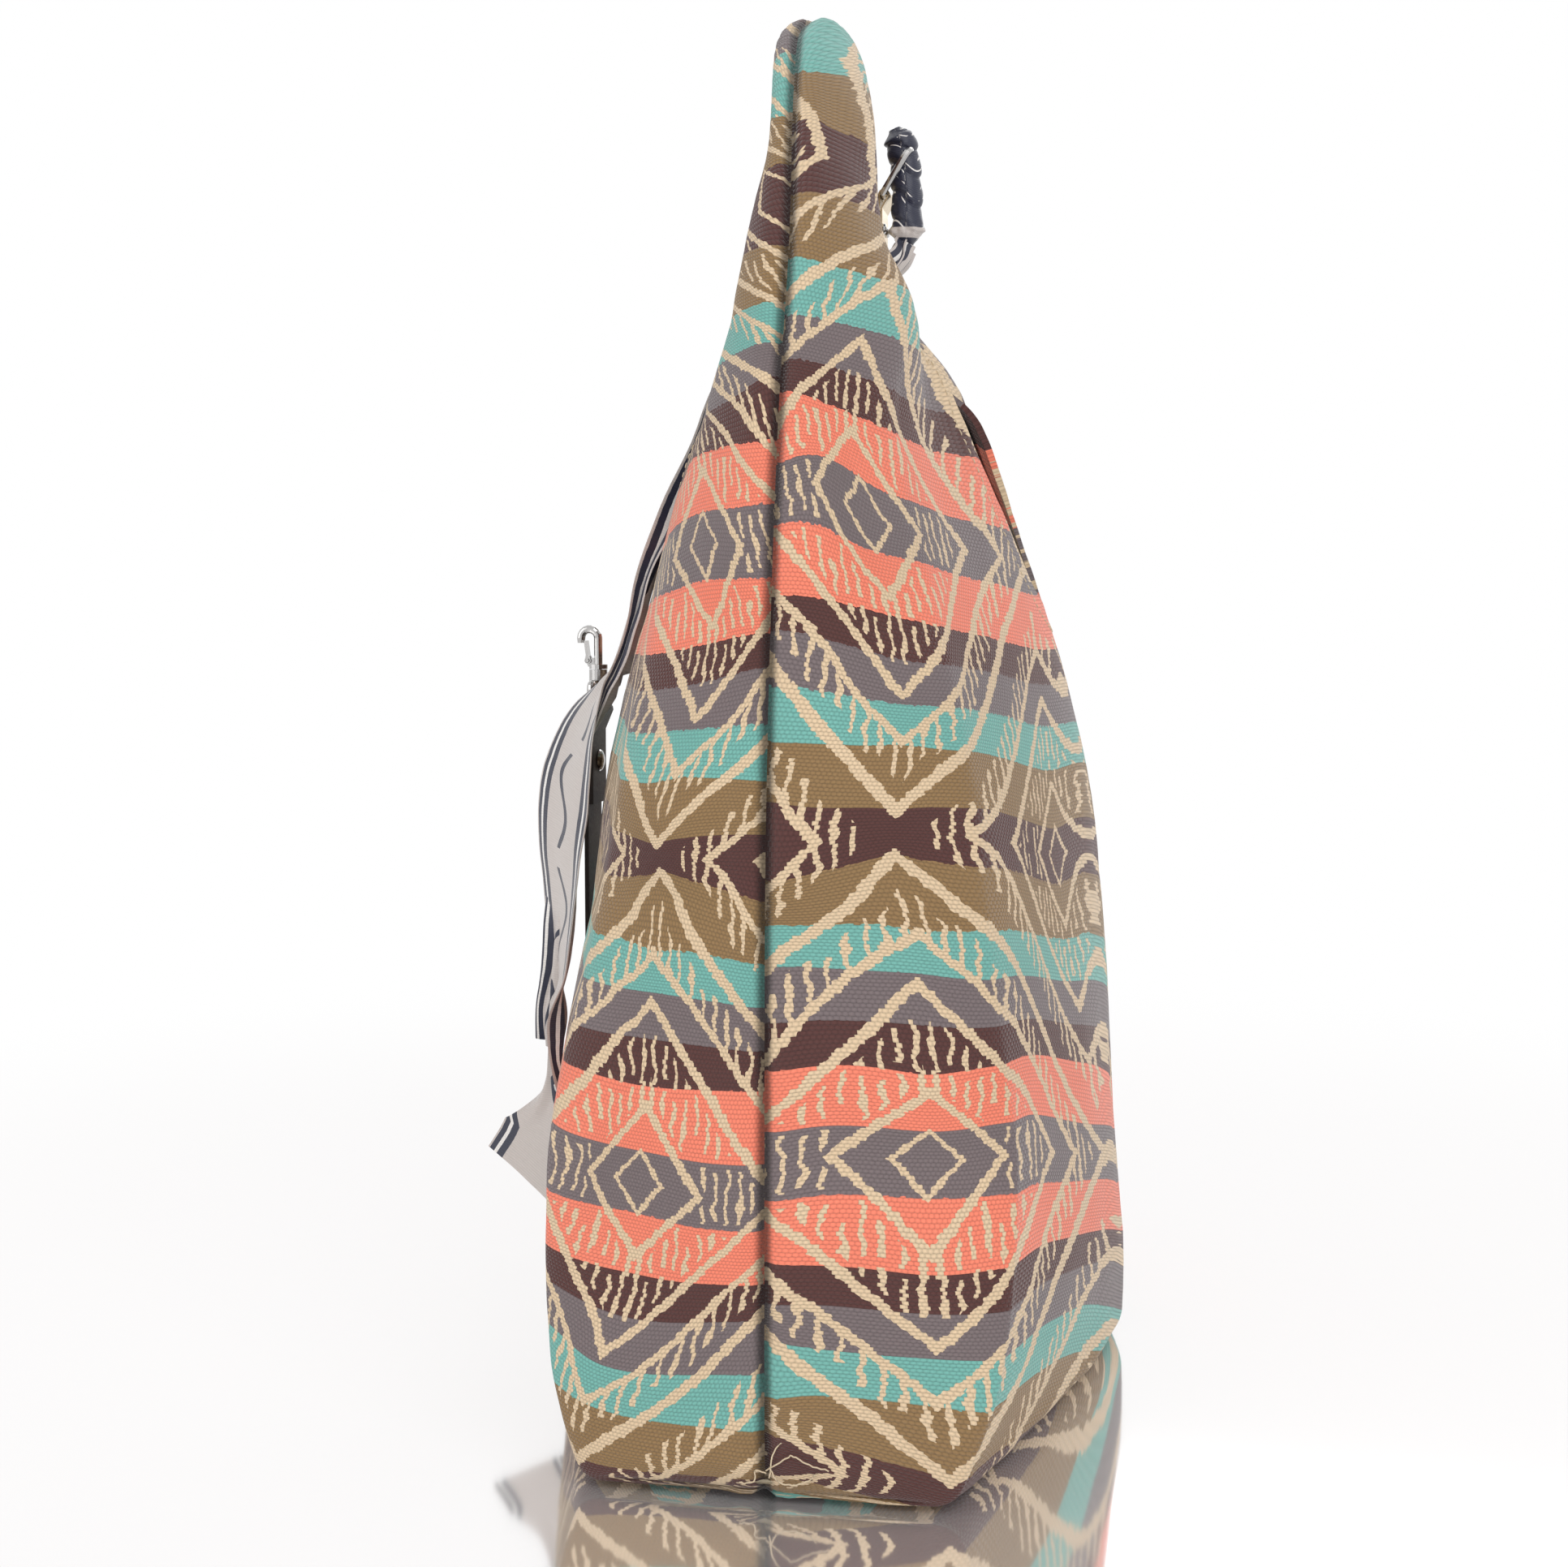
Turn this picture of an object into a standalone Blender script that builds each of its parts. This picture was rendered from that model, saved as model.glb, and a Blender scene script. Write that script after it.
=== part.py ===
"""Canvas shoulder bag: two curved canvas panels joined along a centre seam that runs round the
bottom, the ends and the outer edge of the arched strap, an open mouth with a lining, a leather
closing strap with a swivel snap hook on the front, its ring inside the back, and a satin scarf
wound round a ring that is riveted to the strap.

Frame: X along the bag, -Y the front, +Z up, origin at the middle of the bottom on the floor.
"""

import math

import bmesh
import bpy
from mathutils import Vector

# Bag body
BAG_LENGTH = 0.400          # over the two end seams
BAG_HEIGHT = 0.579          # floor to the top of the strap
MOUTH_HEIGHT = 0.325        # lowest point of the mouth edge
MOUTH_HALF_SPAN = 0.0785    # half the width of the arm opening, along X
BELLY_WIDTH = 0.246         # across the middle of the bag, at the floor
MOUTH_CORNER_HEIGHT = 0.457  # where the mouth closes into the strap
FOOT_WIDTH = 0.132          # across the boxed bottom, at each end seam
END_WIDTH = 0.176           # across the end face at its widest
END_LIFT = 0.004            # the ends of the bottom curl up off the floor
PANEL_THICKNESS = 0.0020
LINING_THICKNESS = 0.0008
LINING_GAP = 0.0010
HEM_DEPTH = 0.012           # canvas hem standing above the lining
BOTTOM_FOLD = 0.013         # rounding along the bottom edge
END_FOLD = 0.030            # rounding along the upright edges
GAP = 0.0003

# Strap
STRAP_WIDTH = 0.050         # radial width at the top of the arch
STRAP_THICKNESS = 0.039
STRAP_LEAN = -0.009         # the arch leans to the front
STRAP_SKEW = 0.13           # and is turned a little, near end to the back
STRAP_TWIST = 0.011         # the near leg's outer seam turns to the front

# Scarf and its rings
SCARF_WIDTH = 0.050
SCARF_THICKNESS = 0.0012
SCARF_GATHER = 0.26         # share of its width where it leaves the coil
SCARF_COLUMNS = 4           # facets across its width
SCARF_SPREAD = 0.45         # share of a tail over which it opens from the gather at the coil
SCARF_REST = 0.0026         # from the panel to the middle of a tail that lies on it
TAIL_SPACING = 0.0050       # between the two tails
COIL_RADIUS = 0.0078
COIL_TURNS = 4
COIL_WAVE = 0.20            # depth of the grooves between the turns, share of the radius
COIL_STEPS = 36
RING_WIDTH = 0.030          # outside, along X
RING_REACH = 0.0240         # from its straight bar to its far side
RING_BAR = 0.0032           # thickness
RING_TILT = 31.0            # degrees from upright, held by the scarf
RING_X = -0.083
RING_Z = 0.518
PLATE_WIDTH = 0.020
PLATE_DROP = 0.022
PLATE_METAL = 0.0009
PLATE_RIVET_HEAD = 0.0026   # radius
PLATE_RIVET_DOME = 0.0011
PLATE_RIVET_SHANK = 0.00096  # radius
PLATE_MARGIN = 0.003        # of strap that is looked at round the plate for its seat

# Closing strap and snap hook
LEATHER = 0.0020
CLOSING_WIDTH = 0.022
CLOSING_FOOT_Z = 0.090      # lower end, sewn on the front panel
CLOSING_SEWN = 0.030
CLOSING_TOP_Z = 0.277       # centre of the swivel's cross bar
TURN_BACK = 0.042           # leather turned back below the cross bar
LOOP_WIRE = 0.0034
LOOP_HEIGHT = 0.0125
SIDE_CLEARANCE = 0.0006
RIVET_HEAD = 0.0050         # radius
RIVET_DOME = 0.0018
RIVET_SHANK = 0.0016        # radius
STEM_RADIUS = 0.0016
STEM_HEAD = 0.0028           # radius
STEM_CAP = 0.0014           # thickness of the stem's head
COLLAR_HEIGHT = 0.0020
BARREL_RADIUS = 0.0042
BARREL_HEIGHT = 0.0045
POST_RADIUS = 0.0019
POST_HEIGHT = 0.0120
HOOK_WIRE = 0.0038
HOOK_BEND = 0.0040          # radius to the middle of the wire
HOOK_TIP = 0.0022           # straight end of the hook below its bend
TIP_TAPER = 0.85            # share of the wire's radius at the very end
GATE_THICKNESS = 0.0010
GATE_EAR = 0.0015           # radius round the pin
GATE_CHEEK = 0.0009         # thickness
LUG_REACH = 0.0044          # from the post's axis forward to the pin
LUG_HALF = 0.0013
LUG_MARGIN = 0.0012         # metal round the pin
GATE_PIN = 0.0008           # radius
PIN_HEAD = 0.0006           # how far the pin stands out past the cheeks
GATE_OVERLAP = 0.0010       # how far the gate reaches up past the tip's end
RUNNING_GAP = 0.00025

# Ring that the hook clips to, on a leather tab inside the back
TAB_TOP_Z = 0.310
TAB_LENGTH = 0.024
TAB_WIDTH = 0.020
CLOSING_RING_WIDTH = 0.030
CLOSING_RING_DROP = 0.020
CLOSING_RING_WIRE = 0.0030

HALF_LENGTH = BAG_LENGTH / 2
SEAM_HALF_GAP = GAP / 2

# Share of the belly's half width along the middle of the bag, by share of the height
MIDDLE_PROFILE = [
    (0.000, 0.992), (0.069, 1.000), (0.155, 0.968), (0.276, 0.935), (0.345, 0.902), (0.415, 0.870),
    (0.466, 0.821), (0.528, 0.748), (0.587, 0.650), (0.648, 0.561), (0.708, 0.439), (0.755, 0.301),
]
# Share of the end's half width along the end seam, by share of the height
END_PROFILE = [
    (0.000, FOOT_WIDTH / END_WIDTH), (0.086, 0.93), (0.207, 1.00), (0.276, 0.93), (0.328, 0.86),
    (0.380, 0.79), (0.432, 0.73), (0.484, 0.65), (0.535, 0.56), (0.587, 0.47), (0.639, 0.39),
    (0.690, 0.335), (0.755, 0.30),
]
STRAP_BLEND = (0.743, 0.864)  # heights between which the body's width passes into the strap's


def smooth(value):
    value = min(max(value, 0.0), 1.0)
    return value * value * (3 - 2 * value)


def spline(points, u):
    """Catmull-Rom curve through the points, u counted in points from 0."""
    last = len(points) - 1
    i = min(max(int(u), 0), last - 1)
    f = u - i
    before = points[i - 1] if i > 0 else [2 * a - b for a, b in zip(points[0], points[1])]
    after = points[i + 2] if i + 2 <= last else [2 * a - b for a, b in zip(points[last], points[last - 1])]
    out = []
    for p0, p1, p2, p3 in zip(before, points[i], points[i + 1], after):
        out.append(0.5 * (2 * p1 + (p2 - p0) * f + (2 * p0 - 5 * p1 + 4 * p2 - p3) * f * f
                          + (3 * p1 - p0 - 3 * p2 + p3) * f ** 3))
    return out


def read_profile(profile, at):
    """Smooth curve through (position, value) pairs."""
    if at <= profile[0][0]:
        return profile[0][1]
    if at >= profile[-1][0]:
        return profile[-1][1]
    i = max(k for k in range(len(profile) - 1) if profile[k][0] <= at)
    f = (at - profile[i][0]) / (profile[i + 1][0] - profile[i][0])
    return spline(profile, i + f)[1]


def contours():
    """Matching stations of the seam and of the mouth edge, from the bottom centre up to the top."""
    top = BAG_HEIGHT
    corner = MOUTH_CORNER_HEIGHT
    side = MOUTH_HALF_SPAN
    low = MOUTH_HEIGHT
    rise = corner - low
    inner_top = top - STRAP_WIDTH
    half = HALF_LENGTH
    seam = [
        (0.0, 0.0), (0.375 * half, 0.0), (0.725 * half, 0.0), (half - 0.008, 0.75 * END_LIFT),
        (half - 0.0005, END_LIFT + 0.012), (half, 0.21 * top), (0.985 * half, 0.415 * top),
        (0.915 * half, 0.596 * top), (0.815 * half, 0.734 * top), (0.70 * half, 0.829 * top),
        (0.515 * half, 0.926 * top), (0.26 * half, 0.985 * top), (0.0, top),
    ]
    mouth = [
        (0.0, low), (0.28 * side, low + 0.045 * rise), (0.52 * side, low + 0.167 * rise),
        (0.70 * side, low + 0.31 * rise), (0.777 * side, low + 0.40 * rise),
        (0.892 * side, low + 0.568 * rise), (0.962 * side, low + 0.727 * rise),
        (0.994 * side, low + 0.871 * rise), (side, corner),
        (0.968 * side, corner + 0.25 * (inner_top - corner)),
        (0.84 * side, corner + 0.64 * (inner_top - corner)),
        (0.484 * side, inner_top - 0.083 * (inner_top - corner)), (0.0, inner_top),
    ]
    return seam, mouth


SEAM_LINE, MOUTH_LINE = contours()
STATIONS = len(SEAM_LINE) - 1
MOUTH_OPEN = [(0, 1.0), (4, 1.0), (5, 0.98), (6, 0.85), (7, 0.52), (8, 0.14), (8.6, 0.0), (12, 0.0)]
FOLD_RADIUS = [(0, BOTTOM_FOLD), (3, 0.85 * BOTTOM_FOLD), (4, BOTTOM_FOLD), (5, END_FOLD),
               (6, 1.35 * END_FOLD), (7, 1.5 * END_FOLD), (8, 1.4 * END_FOLD), (9, 1.15 * END_FOLD),
               (10, 0.53 * STRAP_WIDTH), (12, 0.53 * STRAP_WIDTH)]
FOLD_SHARE = [(0, 0.12), (3, 0.14), (4, 0.20), (5, 0.36), (6, 0.60), (7, 0.80), (8, 0.88), (12, 0.90)]
STEPS_PER_STATION = [3, 3, 2, 2, 3, 3, 3, 2, 2, 2, 2, 2]
SIDE_STEPS = 4
FOLD_STEPS = 3
FACE_STEPS = 2


def half_width(x, z):
    """Distance of the panel from the middle plane, before the strap leans."""
    share = z / BAG_HEIGHT
    middle = BELLY_WIDTH / 2 * read_profile(MIDDLE_PROFILE, share)
    end = END_WIDTH / 2 * read_profile(END_PROFILE, share)
    reach = HALF_LENGTH * (1 - 0.45 * smooth((share - 0.45) / 0.55))
    power = 1.3 + 0.7 * smooth(share / 0.16)
    body = end + (middle - end) * max(0.0, 1 - (abs(x) / reach) ** power)
    into_strap = smooth((share - STRAP_BLEND[0]) / (STRAP_BLEND[1] - STRAP_BLEND[0]))
    strap = STRAP_THICKNESS / 2 * (1.03 - 0.15 * smooth((share - 0.90) / 0.10))
    return body + (strap - body) * into_strap


def lean(x, z, share_out):
    """How far the strap has shifted along Y at a point, share_out from 0 at the mouth to 1."""
    amount = smooth((z - 0.69 * BAG_HEIGHT) / (0.20 * BAG_HEIGHT))
    near = smooth(x / MOUTH_HALF_SPAN)
    return amount * (STRAP_LEAN + STRAP_SKEW * x + STRAP_TWIST * near * (1 - 2 * share_out))


def panel_point(u, s, side):
    """Point of the outer surface: u runs from -1 to 1 round the bag from the top, 0 at the bottom,
    s from 0 at the mouth edge to 1 at the seam, side is 1 for the back and -1 for the front."""
    station = abs(u) * STATIONS
    xo, zo = spline(SEAM_LINE, station)
    xi, zi = spline(MOUTH_LINE, station)
    zo = max(zo, 0.0)
    length = math.hypot(xo - xi, zo - zi)
    fold = read_profile(FOLD_RADIUS, station) / length
    total = SIDE_STEPS + FOLD_STEPS + FACE_STEPS
    along_side, along_fold = SIDE_STEPS / total, (SIDE_STEPS + FOLD_STEPS) / total
    start = 1 - fold
    xq, zq = xi + (xo - xi) * start, zi + (zo - zi) * start
    edge = half_width(xq, zq)
    fold_y = edge * read_profile(FOLD_SHARE, station)
    if s <= along_side:
        g = start * s / along_side
        y = half_width(xi + (xo - xi) * g, zi + (zo - zi) * g)
    elif s <= along_fold:
        angle = (s - along_side) / (along_fold - along_side) * math.pi / 2
        g = start + fold * math.sin(angle)
        y = edge - fold_y * (1 - math.cos(angle))
    else:
        g = 1.0
        y = (edge - fold_y) * (1 - (s - along_fold) / (1 - along_fold))
    closed = 1 - read_profile(MOUTH_OPEN, station)
    if closed > 0:
        rounding = math.sqrt(max(0.0, 1 - (1 - min(1.0, g / (0.95 * start))) ** 2))
        y *= 1 - closed * (1 - rounding)
    x = xi + (xo - xi) * g
    z = zi + (zo - zi) * g
    sign = -1 if u < 0 else 1
    shift = lean(sign * x, z, g)
    return Vector((sign * x, side * max(y, SEAM_HALF_GAP) + shift, z))


def panel_normal(u, s, side):
    """Outward direction of the surface, level with the middle plane where the two panels meet."""
    small = 0.0008
    low, high = max(s - 0.01, 0.0), min(s + 0.01, 1.0)
    if s >= 1.0:
        low = 0.985
    along = panel_point(wrap(u + small), s, side) - panel_point(wrap(u - small), s, side)
    across = panel_point(u, high, side) - panel_point(u, low, side)
    normal = along.cross(across) * side
    if s >= 1.0:
        normal.y = 0.0
    if s <= 0.0:
        normal.y *= read_profile(MOUTH_OPEN, abs(u) * STATIONS)
    return normal.normalized()


def wrap(u):
    return u - 2 if u > 1 else u + 2 if u < -1 else u


def around_values(last_station):
    """Values of u from 0 up to a station, with the steps of each station."""
    values = [0.0]
    for station, steps in enumerate(STEPS_PER_STATION):
        for k in range(1, steps + 1):
            value = station + k / steps
            if value <= last_station + 1e-9:
                values.append(value / STATIONS)
    return values


def across_values():
    total = SIDE_STEPS + FOLD_STEPS + FACE_STEPS
    return [k / total for k in range(total + 1)]


def material(name, colour, roughness, metallic=0.0):
    made = bpy.data.materials.new(name)
    made.use_nodes = True
    shader = made.node_tree.nodes["Principled BSDF"]
    shader.inputs["Base Color"].default_value = (*colour, 1.0)
    shader.inputs["Roughness"].default_value = roughness
    shader.inputs["Metallic"].default_value = metallic
    return made


def add_object(name, bm, finish, smooth_angle=math.radians(50)):
    bmesh.ops.recalc_face_normals(bm, faces=bm.faces)
    if bm.calc_volume(signed=True) < 0:
        bmesh.ops.reverse_faces(bm, faces=bm.faces)
    mesh = bpy.data.meshes.new(name)
    bm.to_mesh(mesh)
    bm.free()
    mesh.shade_smooth()
    mesh.set_sharp_from_angle(angle=smooth_angle)
    made = bpy.data.objects.new(name, mesh)
    mesh.materials.append(finish)
    bpy.context.scene.collection.objects.link(made)
    return made


def skin_faces(bm, outer, inner, closed_rows, turn_column=None):
    """Two matching grids of vertices as triangles, joined along their free edges.

    From turn_column on, the triangles are split the other way, so that a lining that runs down one
    side and up the other has its folds where both panels have theirs.
    """
    rows, columns = len(outer), len(outer[0])
    last = rows if closed_rows else rows - 1
    for i in range(last):
        k = (i + 1) % rows
        for j in range(columns - 1):
            for grid in (outer, inner):
                a, b, c, d = grid[i][j], grid[k][j], grid[k][j + 1], grid[i][j + 1]
                if turn_column is not None and j >= turn_column:
                    a, b, c, d = d, a, b, c
                bm.faces.new((a, b, c))
                bm.faces.new((a, c, d))
        for j in (0, columns - 1):
            bm.faces.new((outer[i][j], inner[i][j], inner[k][j], outer[k][j]))


def build_panel(name, side, finish):
    half = around_values(STATIONS)
    loop = [-u for u in half[:0:-1]] + half[:-1]
    bm = bmesh.new()
    outer, inner = [], []
    for u in loop:
        row_out, row_in = [], []
        for s in across_values():
            point = panel_point(u, s, side)
            row_out.append(bm.verts.new(point))
            row_in.append(bm.verts.new(point - panel_normal(u, s, side) * PANEL_THICKNESS))
        outer.append(row_out)
        inner.append(row_in)
    skin_faces(bm, outer, inner, closed_rows=True)
    return add_object(name, bm, finish)


def hem_share(station):
    """Where the lining begins below the mouth edge, deeper where the mouth closes into the strap."""
    hem = HEM_DEPTH / (BELLY_WIDTH / 2 + MOUTH_HEIGHT)
    return hem + (0.8 * across_values()[1] - hem) * smooth((station - 4.5) / 1.2)


def under_panel(u, s, side, depth):
    """Point at a depth below the panel's facets, which run straight between across_values."""
    columns = across_values()
    low = max(value for value in columns if value <= s + 1e-9)
    high = min(value for value in columns if value >= s - 1e-9)
    first = panel_point(u, low, side) - panel_normal(u, low, side) * depth
    if high <= low:
        return first
    second = panel_point(u, high, side) - panel_normal(u, high, side) * depth
    return first.lerp(second, (s - low) / (high - low))


def build_lining(finish):
    """One bag-shaped lining inside both panels, closed where the strap begins."""
    last_station = 6.67
    half = around_values(last_station)
    rows = [-u for u in half[:0:-1]] + half
    inside = across_values()[1:]
    bm = bmesh.new()
    skins = []
    depth = PANEL_THICKNESS + LINING_GAP
    for depth, shrink in ((depth, 0.0), (depth + LINING_THICKNESS, 0.004)):
        grid = []
        for u in rows:
            at = u * (1 - shrink)
            start = hem_share(abs(u) * STATIONS)
            across = [start] + inside
            row = []
            for s, side in [(s, -1) for s in across] + [(s, 1) for s in across[-2::-1]]:
                point = under_panel(at, s, side, depth)
                if s >= 1.0:
                    point.y = lean(point.x, point.z, 1.0)
                row.append(bm.verts.new(point))
            grid.append(row)
        skins.append(grid)
    columns = len(skins[0][0])
    middle = columns // 2
    skin_faces(bm, skins[0], skins[1], closed_rows=False, turn_column=middle)
    for end in (0, -1):
        for grid in skins:
            row = grid[end]
            for k in range(middle - 1):
                bm.faces.new((row[k], row[k + 1], row[columns - 2 - k], row[columns - 1 - k]))
            bm.faces.new((row[middle - 1], row[middle], row[middle + 1]))
        out_row, in_row = skins[0][end], skins[1][end]
        bm.faces.new((out_row[0], out_row[-1], in_row[-1], in_row[0]))
    return add_object("lining", bm, finish)


def tube(name, path, radius, finish, sides=10, closed=False):
    """Solid swept along a path of points, with one radius or one for each point."""
    bm = bmesh.new()
    count = len(path)
    rings = []
    normal = None
    tangent = None
    for i, point in enumerate(path):
        before = path[i - 1] if (i > 0 or closed) else path[i]
        after = path[(i + 1) % count] if (i < count - 1 or closed) else path[i]
        if (after - before).length > 1e-7:
            tangent = (after - before).normalized()
        if normal is None:
            normal = tangent.orthogonal().normalized()
        normal = (normal - tangent * normal.dot(tangent)).normalized()
        binormal = tangent.cross(normal)
        r = radius[i] if isinstance(radius, list) else radius
        ring = []
        for k in range(sides):
            a = 2 * math.pi * k / sides
            ring.append(bm.verts.new(point + normal * r * math.cos(a) + binormal * r * math.sin(a)))
        rings.append(ring)
    for i in range(count if closed else count - 1):
        a, b = rings[i], rings[(i + 1) % count]
        for k in range(sides):
            bm.faces.new((a[k], a[(k + 1) % sides], b[(k + 1) % sides], b[k]))
    if not closed:
        bm.faces.new(rings[0][::-1])
        bm.faces.new(rings[-1])
    return add_object(name, bm, finish)


def extrude_outline(name, outline, plane_points, finish):
    """Prism between two copies of an outline; plane_points maps an outline point to both ends."""
    bm = bmesh.new()
    first = [bm.verts.new(plane_points(p)[0]) for p in outline]
    second = [bm.verts.new(plane_points(p)[1]) for p in outline]
    count = len(outline)
    for k in range(count):
        bm.faces.new((first[k], first[(k + 1) % count], second[(k + 1) % count], second[k]))
    bm.faces.new(first[::-1])
    bm.faces.new(second)
    return add_object(name, bm, finish)


def cylinder(name, start, end, radius, finish, sides=20):
    return tube(name, [Vector(start), Vector(end)], radius, finish, sides=sides)


def cut(target, cutter):
    """Boolean difference that keeps the cutter out of the model."""
    cutter.hide_render = True
    cutter.display_type = "WIRE"
    modifier = target.modifiers.new("cut " + cutter.name, "BOOLEAN")
    modifier.operation = "DIFFERENCE"
    modifier.solver = "EXACT"
    modifier.object = cutter


def join(target, piece):
    """Boolean union that makes the piece a part of the target."""
    cut(target, piece)
    target.modifiers[-1].operation = "UNION"


def smooth_path(points, steps):
    last = len(points) - 1
    return [Vector(spline(points, last * k / steps)) for k in range(steps + 1)]


def ribbon(name, stations, finish, steps=34):
    """Satin tail: stations are (x, y, z, turn), turn in degrees of its width from the X axis."""
    bm = bmesh.new()
    outer, inner = [], []
    last = len(stations) - 1
    for i in range(steps + 1):
        u = last * i / steps
        x, y, z, turn = spline(stations, u)
        ahead = Vector(spline(stations, min(u + 0.05, last))[:3])
        behind = Vector(spline(stations, max(u - 0.05, 0.0))[:3])
        tangent = (ahead - behind).normalized()
        wide = Vector((math.cos(math.radians(turn)), math.sin(math.radians(turn)), 0.0))
        wide = (wide - tangent * wide.dot(tangent)).normalized()
        face = tangent.cross(wide)
        centre = Vector((x, y, z))
        narrow = SCARF_GATHER + (1 - SCARF_GATHER) * smooth(i / steps / SCARF_SPREAD)
        w, t = wide * SCARF_WIDTH / 2 * narrow, face * SCARF_THICKNESS / 2
        shares = [1 - 2 * k / SCARF_COLUMNS for k in range(SCARF_COLUMNS + 1)]
        outer.append([bm.verts.new(centre + w * share + t) for share in shares])
        inner.append([bm.verts.new(centre + w * share - t) for share in shares])
    skin_faces(bm, outer, inner, closed_rows=False)
    for end in (0, -1):
        for k in range(SCARF_COLUMNS):
            bm.faces.new((outer[end][k], outer[end][k + 1], inner[end][k + 1], inner[end][k]))
    return add_object(name, bm, finish)


def d_ring_path(pivot, drop, width, reach):
    """Closed path of a D-shaped ring: straight bar along X through the pivot, bow along drop."""
    half = width / 2
    side = Vector((1, 0, 0))
    corner = 0.22 * width
    points = []
    outline = [(-half, 0.0), (half, 0.0)]
    steps = 5
    for k in range(steps + 1):
        a = math.pi / 2 * k / steps
        outline.append((half - corner + corner * math.cos(a), reach - corner + corner * math.sin(a)))
    for k in range(steps + 1):
        a = math.pi / 2 * (1 + k / steps)
        outline.append((-half + corner + corner * math.cos(a), reach - corner + corner * math.sin(a)))
    for across, down in outline:
        points.append(Vector(pivot) + side * across + drop * down)
    return points


def folded_strip(face, underside, toward, turn, up, bar, thickness, far_end):
    """Outline in Y and Z of a strip that runs along one layer, round a bar and back behind it.

    face and underside are the first layer's own points, both listed from its end to the bar;
    toward is the side of Y on which the second layer lies, up is 1 where the fold is on top.
    """
    inner = bar + GAP
    outer = inner + thickness
    face_y = face[-1][0]
    centre_y = face_y + toward * outer
    steps = 8
    back = face_y + toward * (2 * thickness + GAP)
    neck = turn - up * 2.2 * outer
    outline = list(face)
    for k in range(steps + 1):
        a = math.pi * (1 - k / steps)
        outline.append((centre_y + toward * outer * math.cos(a), turn + up * outer * math.sin(a)))
    outline += [(back, neck), (back, far_end), (back - toward * thickness, far_end),
                (back - toward * thickness, neck)]
    for k in range(steps + 1):
        a = math.pi * k / steps
        outline.append((centre_y + toward * inner * math.cos(a), turn + up * inner * math.sin(a)))
    return outline + list(underside)[::-1]


def across_x(centre, width):
    """Maps an outline point (y, z) to the two ends of a prism along X."""
    return lambda p: (Vector((centre - width / 2, p[0], p[1])), Vector((centre + width / 2, p[0], p[1])))


def front(x, z, off=0.0):
    """Y of a point off the front panel's outer face."""
    return -(half_width(x, z) + off)


def highest_panel_y(x_range, z_range):
    """Largest Y of the back panel over a small footprint on the strap."""
    best = -1.0
    for i in range(241):
        for k in range(41):
            point = panel_point(-0.72 - 0.20 * i / 240, k / 40, 1)
            if x_range[0] <= point.x <= x_range[1] and z_range[0] <= point.z <= z_range[1]:
                best = max(best, point.y)
    return best


def nearest_lining_y(half_range, z_range):
    """Smallest Y of the lining's inner side on the back, over a small footprint at mid-length."""
    depth = PANEL_THICKNESS + LINING_GAP + LINING_THICKNESS
    best = BELLY_WIDTH
    for i in range(25):
        for k in range(81):
            point = under_panel(i / 24 / STATIONS, 0.5 * k / 80, 1, depth)
            if point.x <= half_range + 0.003 and z_range[0] <= point.z <= z_range[1] + 0.0005:
                best = min(best, point.y)
    return best


def rivet(name, centre, direction, shank, finish):
    """Domed rivet head on a short shank; direction points from the head into the work."""
    profile = [(0.0006, -RIVET_DOME), (0.55 * RIVET_HEAD, -0.85 * RIVET_DOME),
               (0.88 * RIVET_HEAD, -0.45 * RIVET_DOME), (RIVET_HEAD, 0.0), (RIVET_SHANK, 0.0),
               (RIVET_SHANK, shank)]
    path = [Vector(centre) + Vector(direction) * along for _, along in profile]
    return tube(name, path, [radius for radius, _ in profile], finish, sides=16)


def build_closing_strap(leather, metal):
    """Leather strip sewn on the front panel, standing up and folded round the swivel's bar."""
    bar = LOOP_WIRE / 2
    sewn_top = CLOSING_FOOT_Z + CLOSING_SEWN
    under = [(front(0, z, GAP), z) for z in (CLOSING_FOOT_Z, CLOSING_FOOT_Z + CLOSING_SEWN / 2, sewn_top)]
    face = [(y - LEATHER, z) for y, z in under]
    outline = folded_strip(face, under, 1, CLOSING_TOP_Z, 1, bar, LEATHER, CLOSING_TOP_Z - TURN_BACK)
    strap = extrude_outline("closing_strap", outline, across_x(0, CLOSING_WIDTH), leather)
    face_y = face[-1][0]
    back_y = face_y + 2 * LEATHER + GAP
    rivet_z = CLOSING_TOP_Z - 0.5 * TURN_BACK - bar
    hole = cylinder("strap_hole", (0, face_y - LEATHER, rivet_z), (0, back_y + LEATHER, rivet_z),
                    RIVET_SHANK + RUNNING_GAP, leather)
    cut(strap, hole)
    rivet("strap_rivet", (0, back_y + GAP, rivet_z), (0, -1, 0), 2 * LEATHER + 2 * GAP, metal)
    return face_y + bar + GAP + LEATHER


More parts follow.
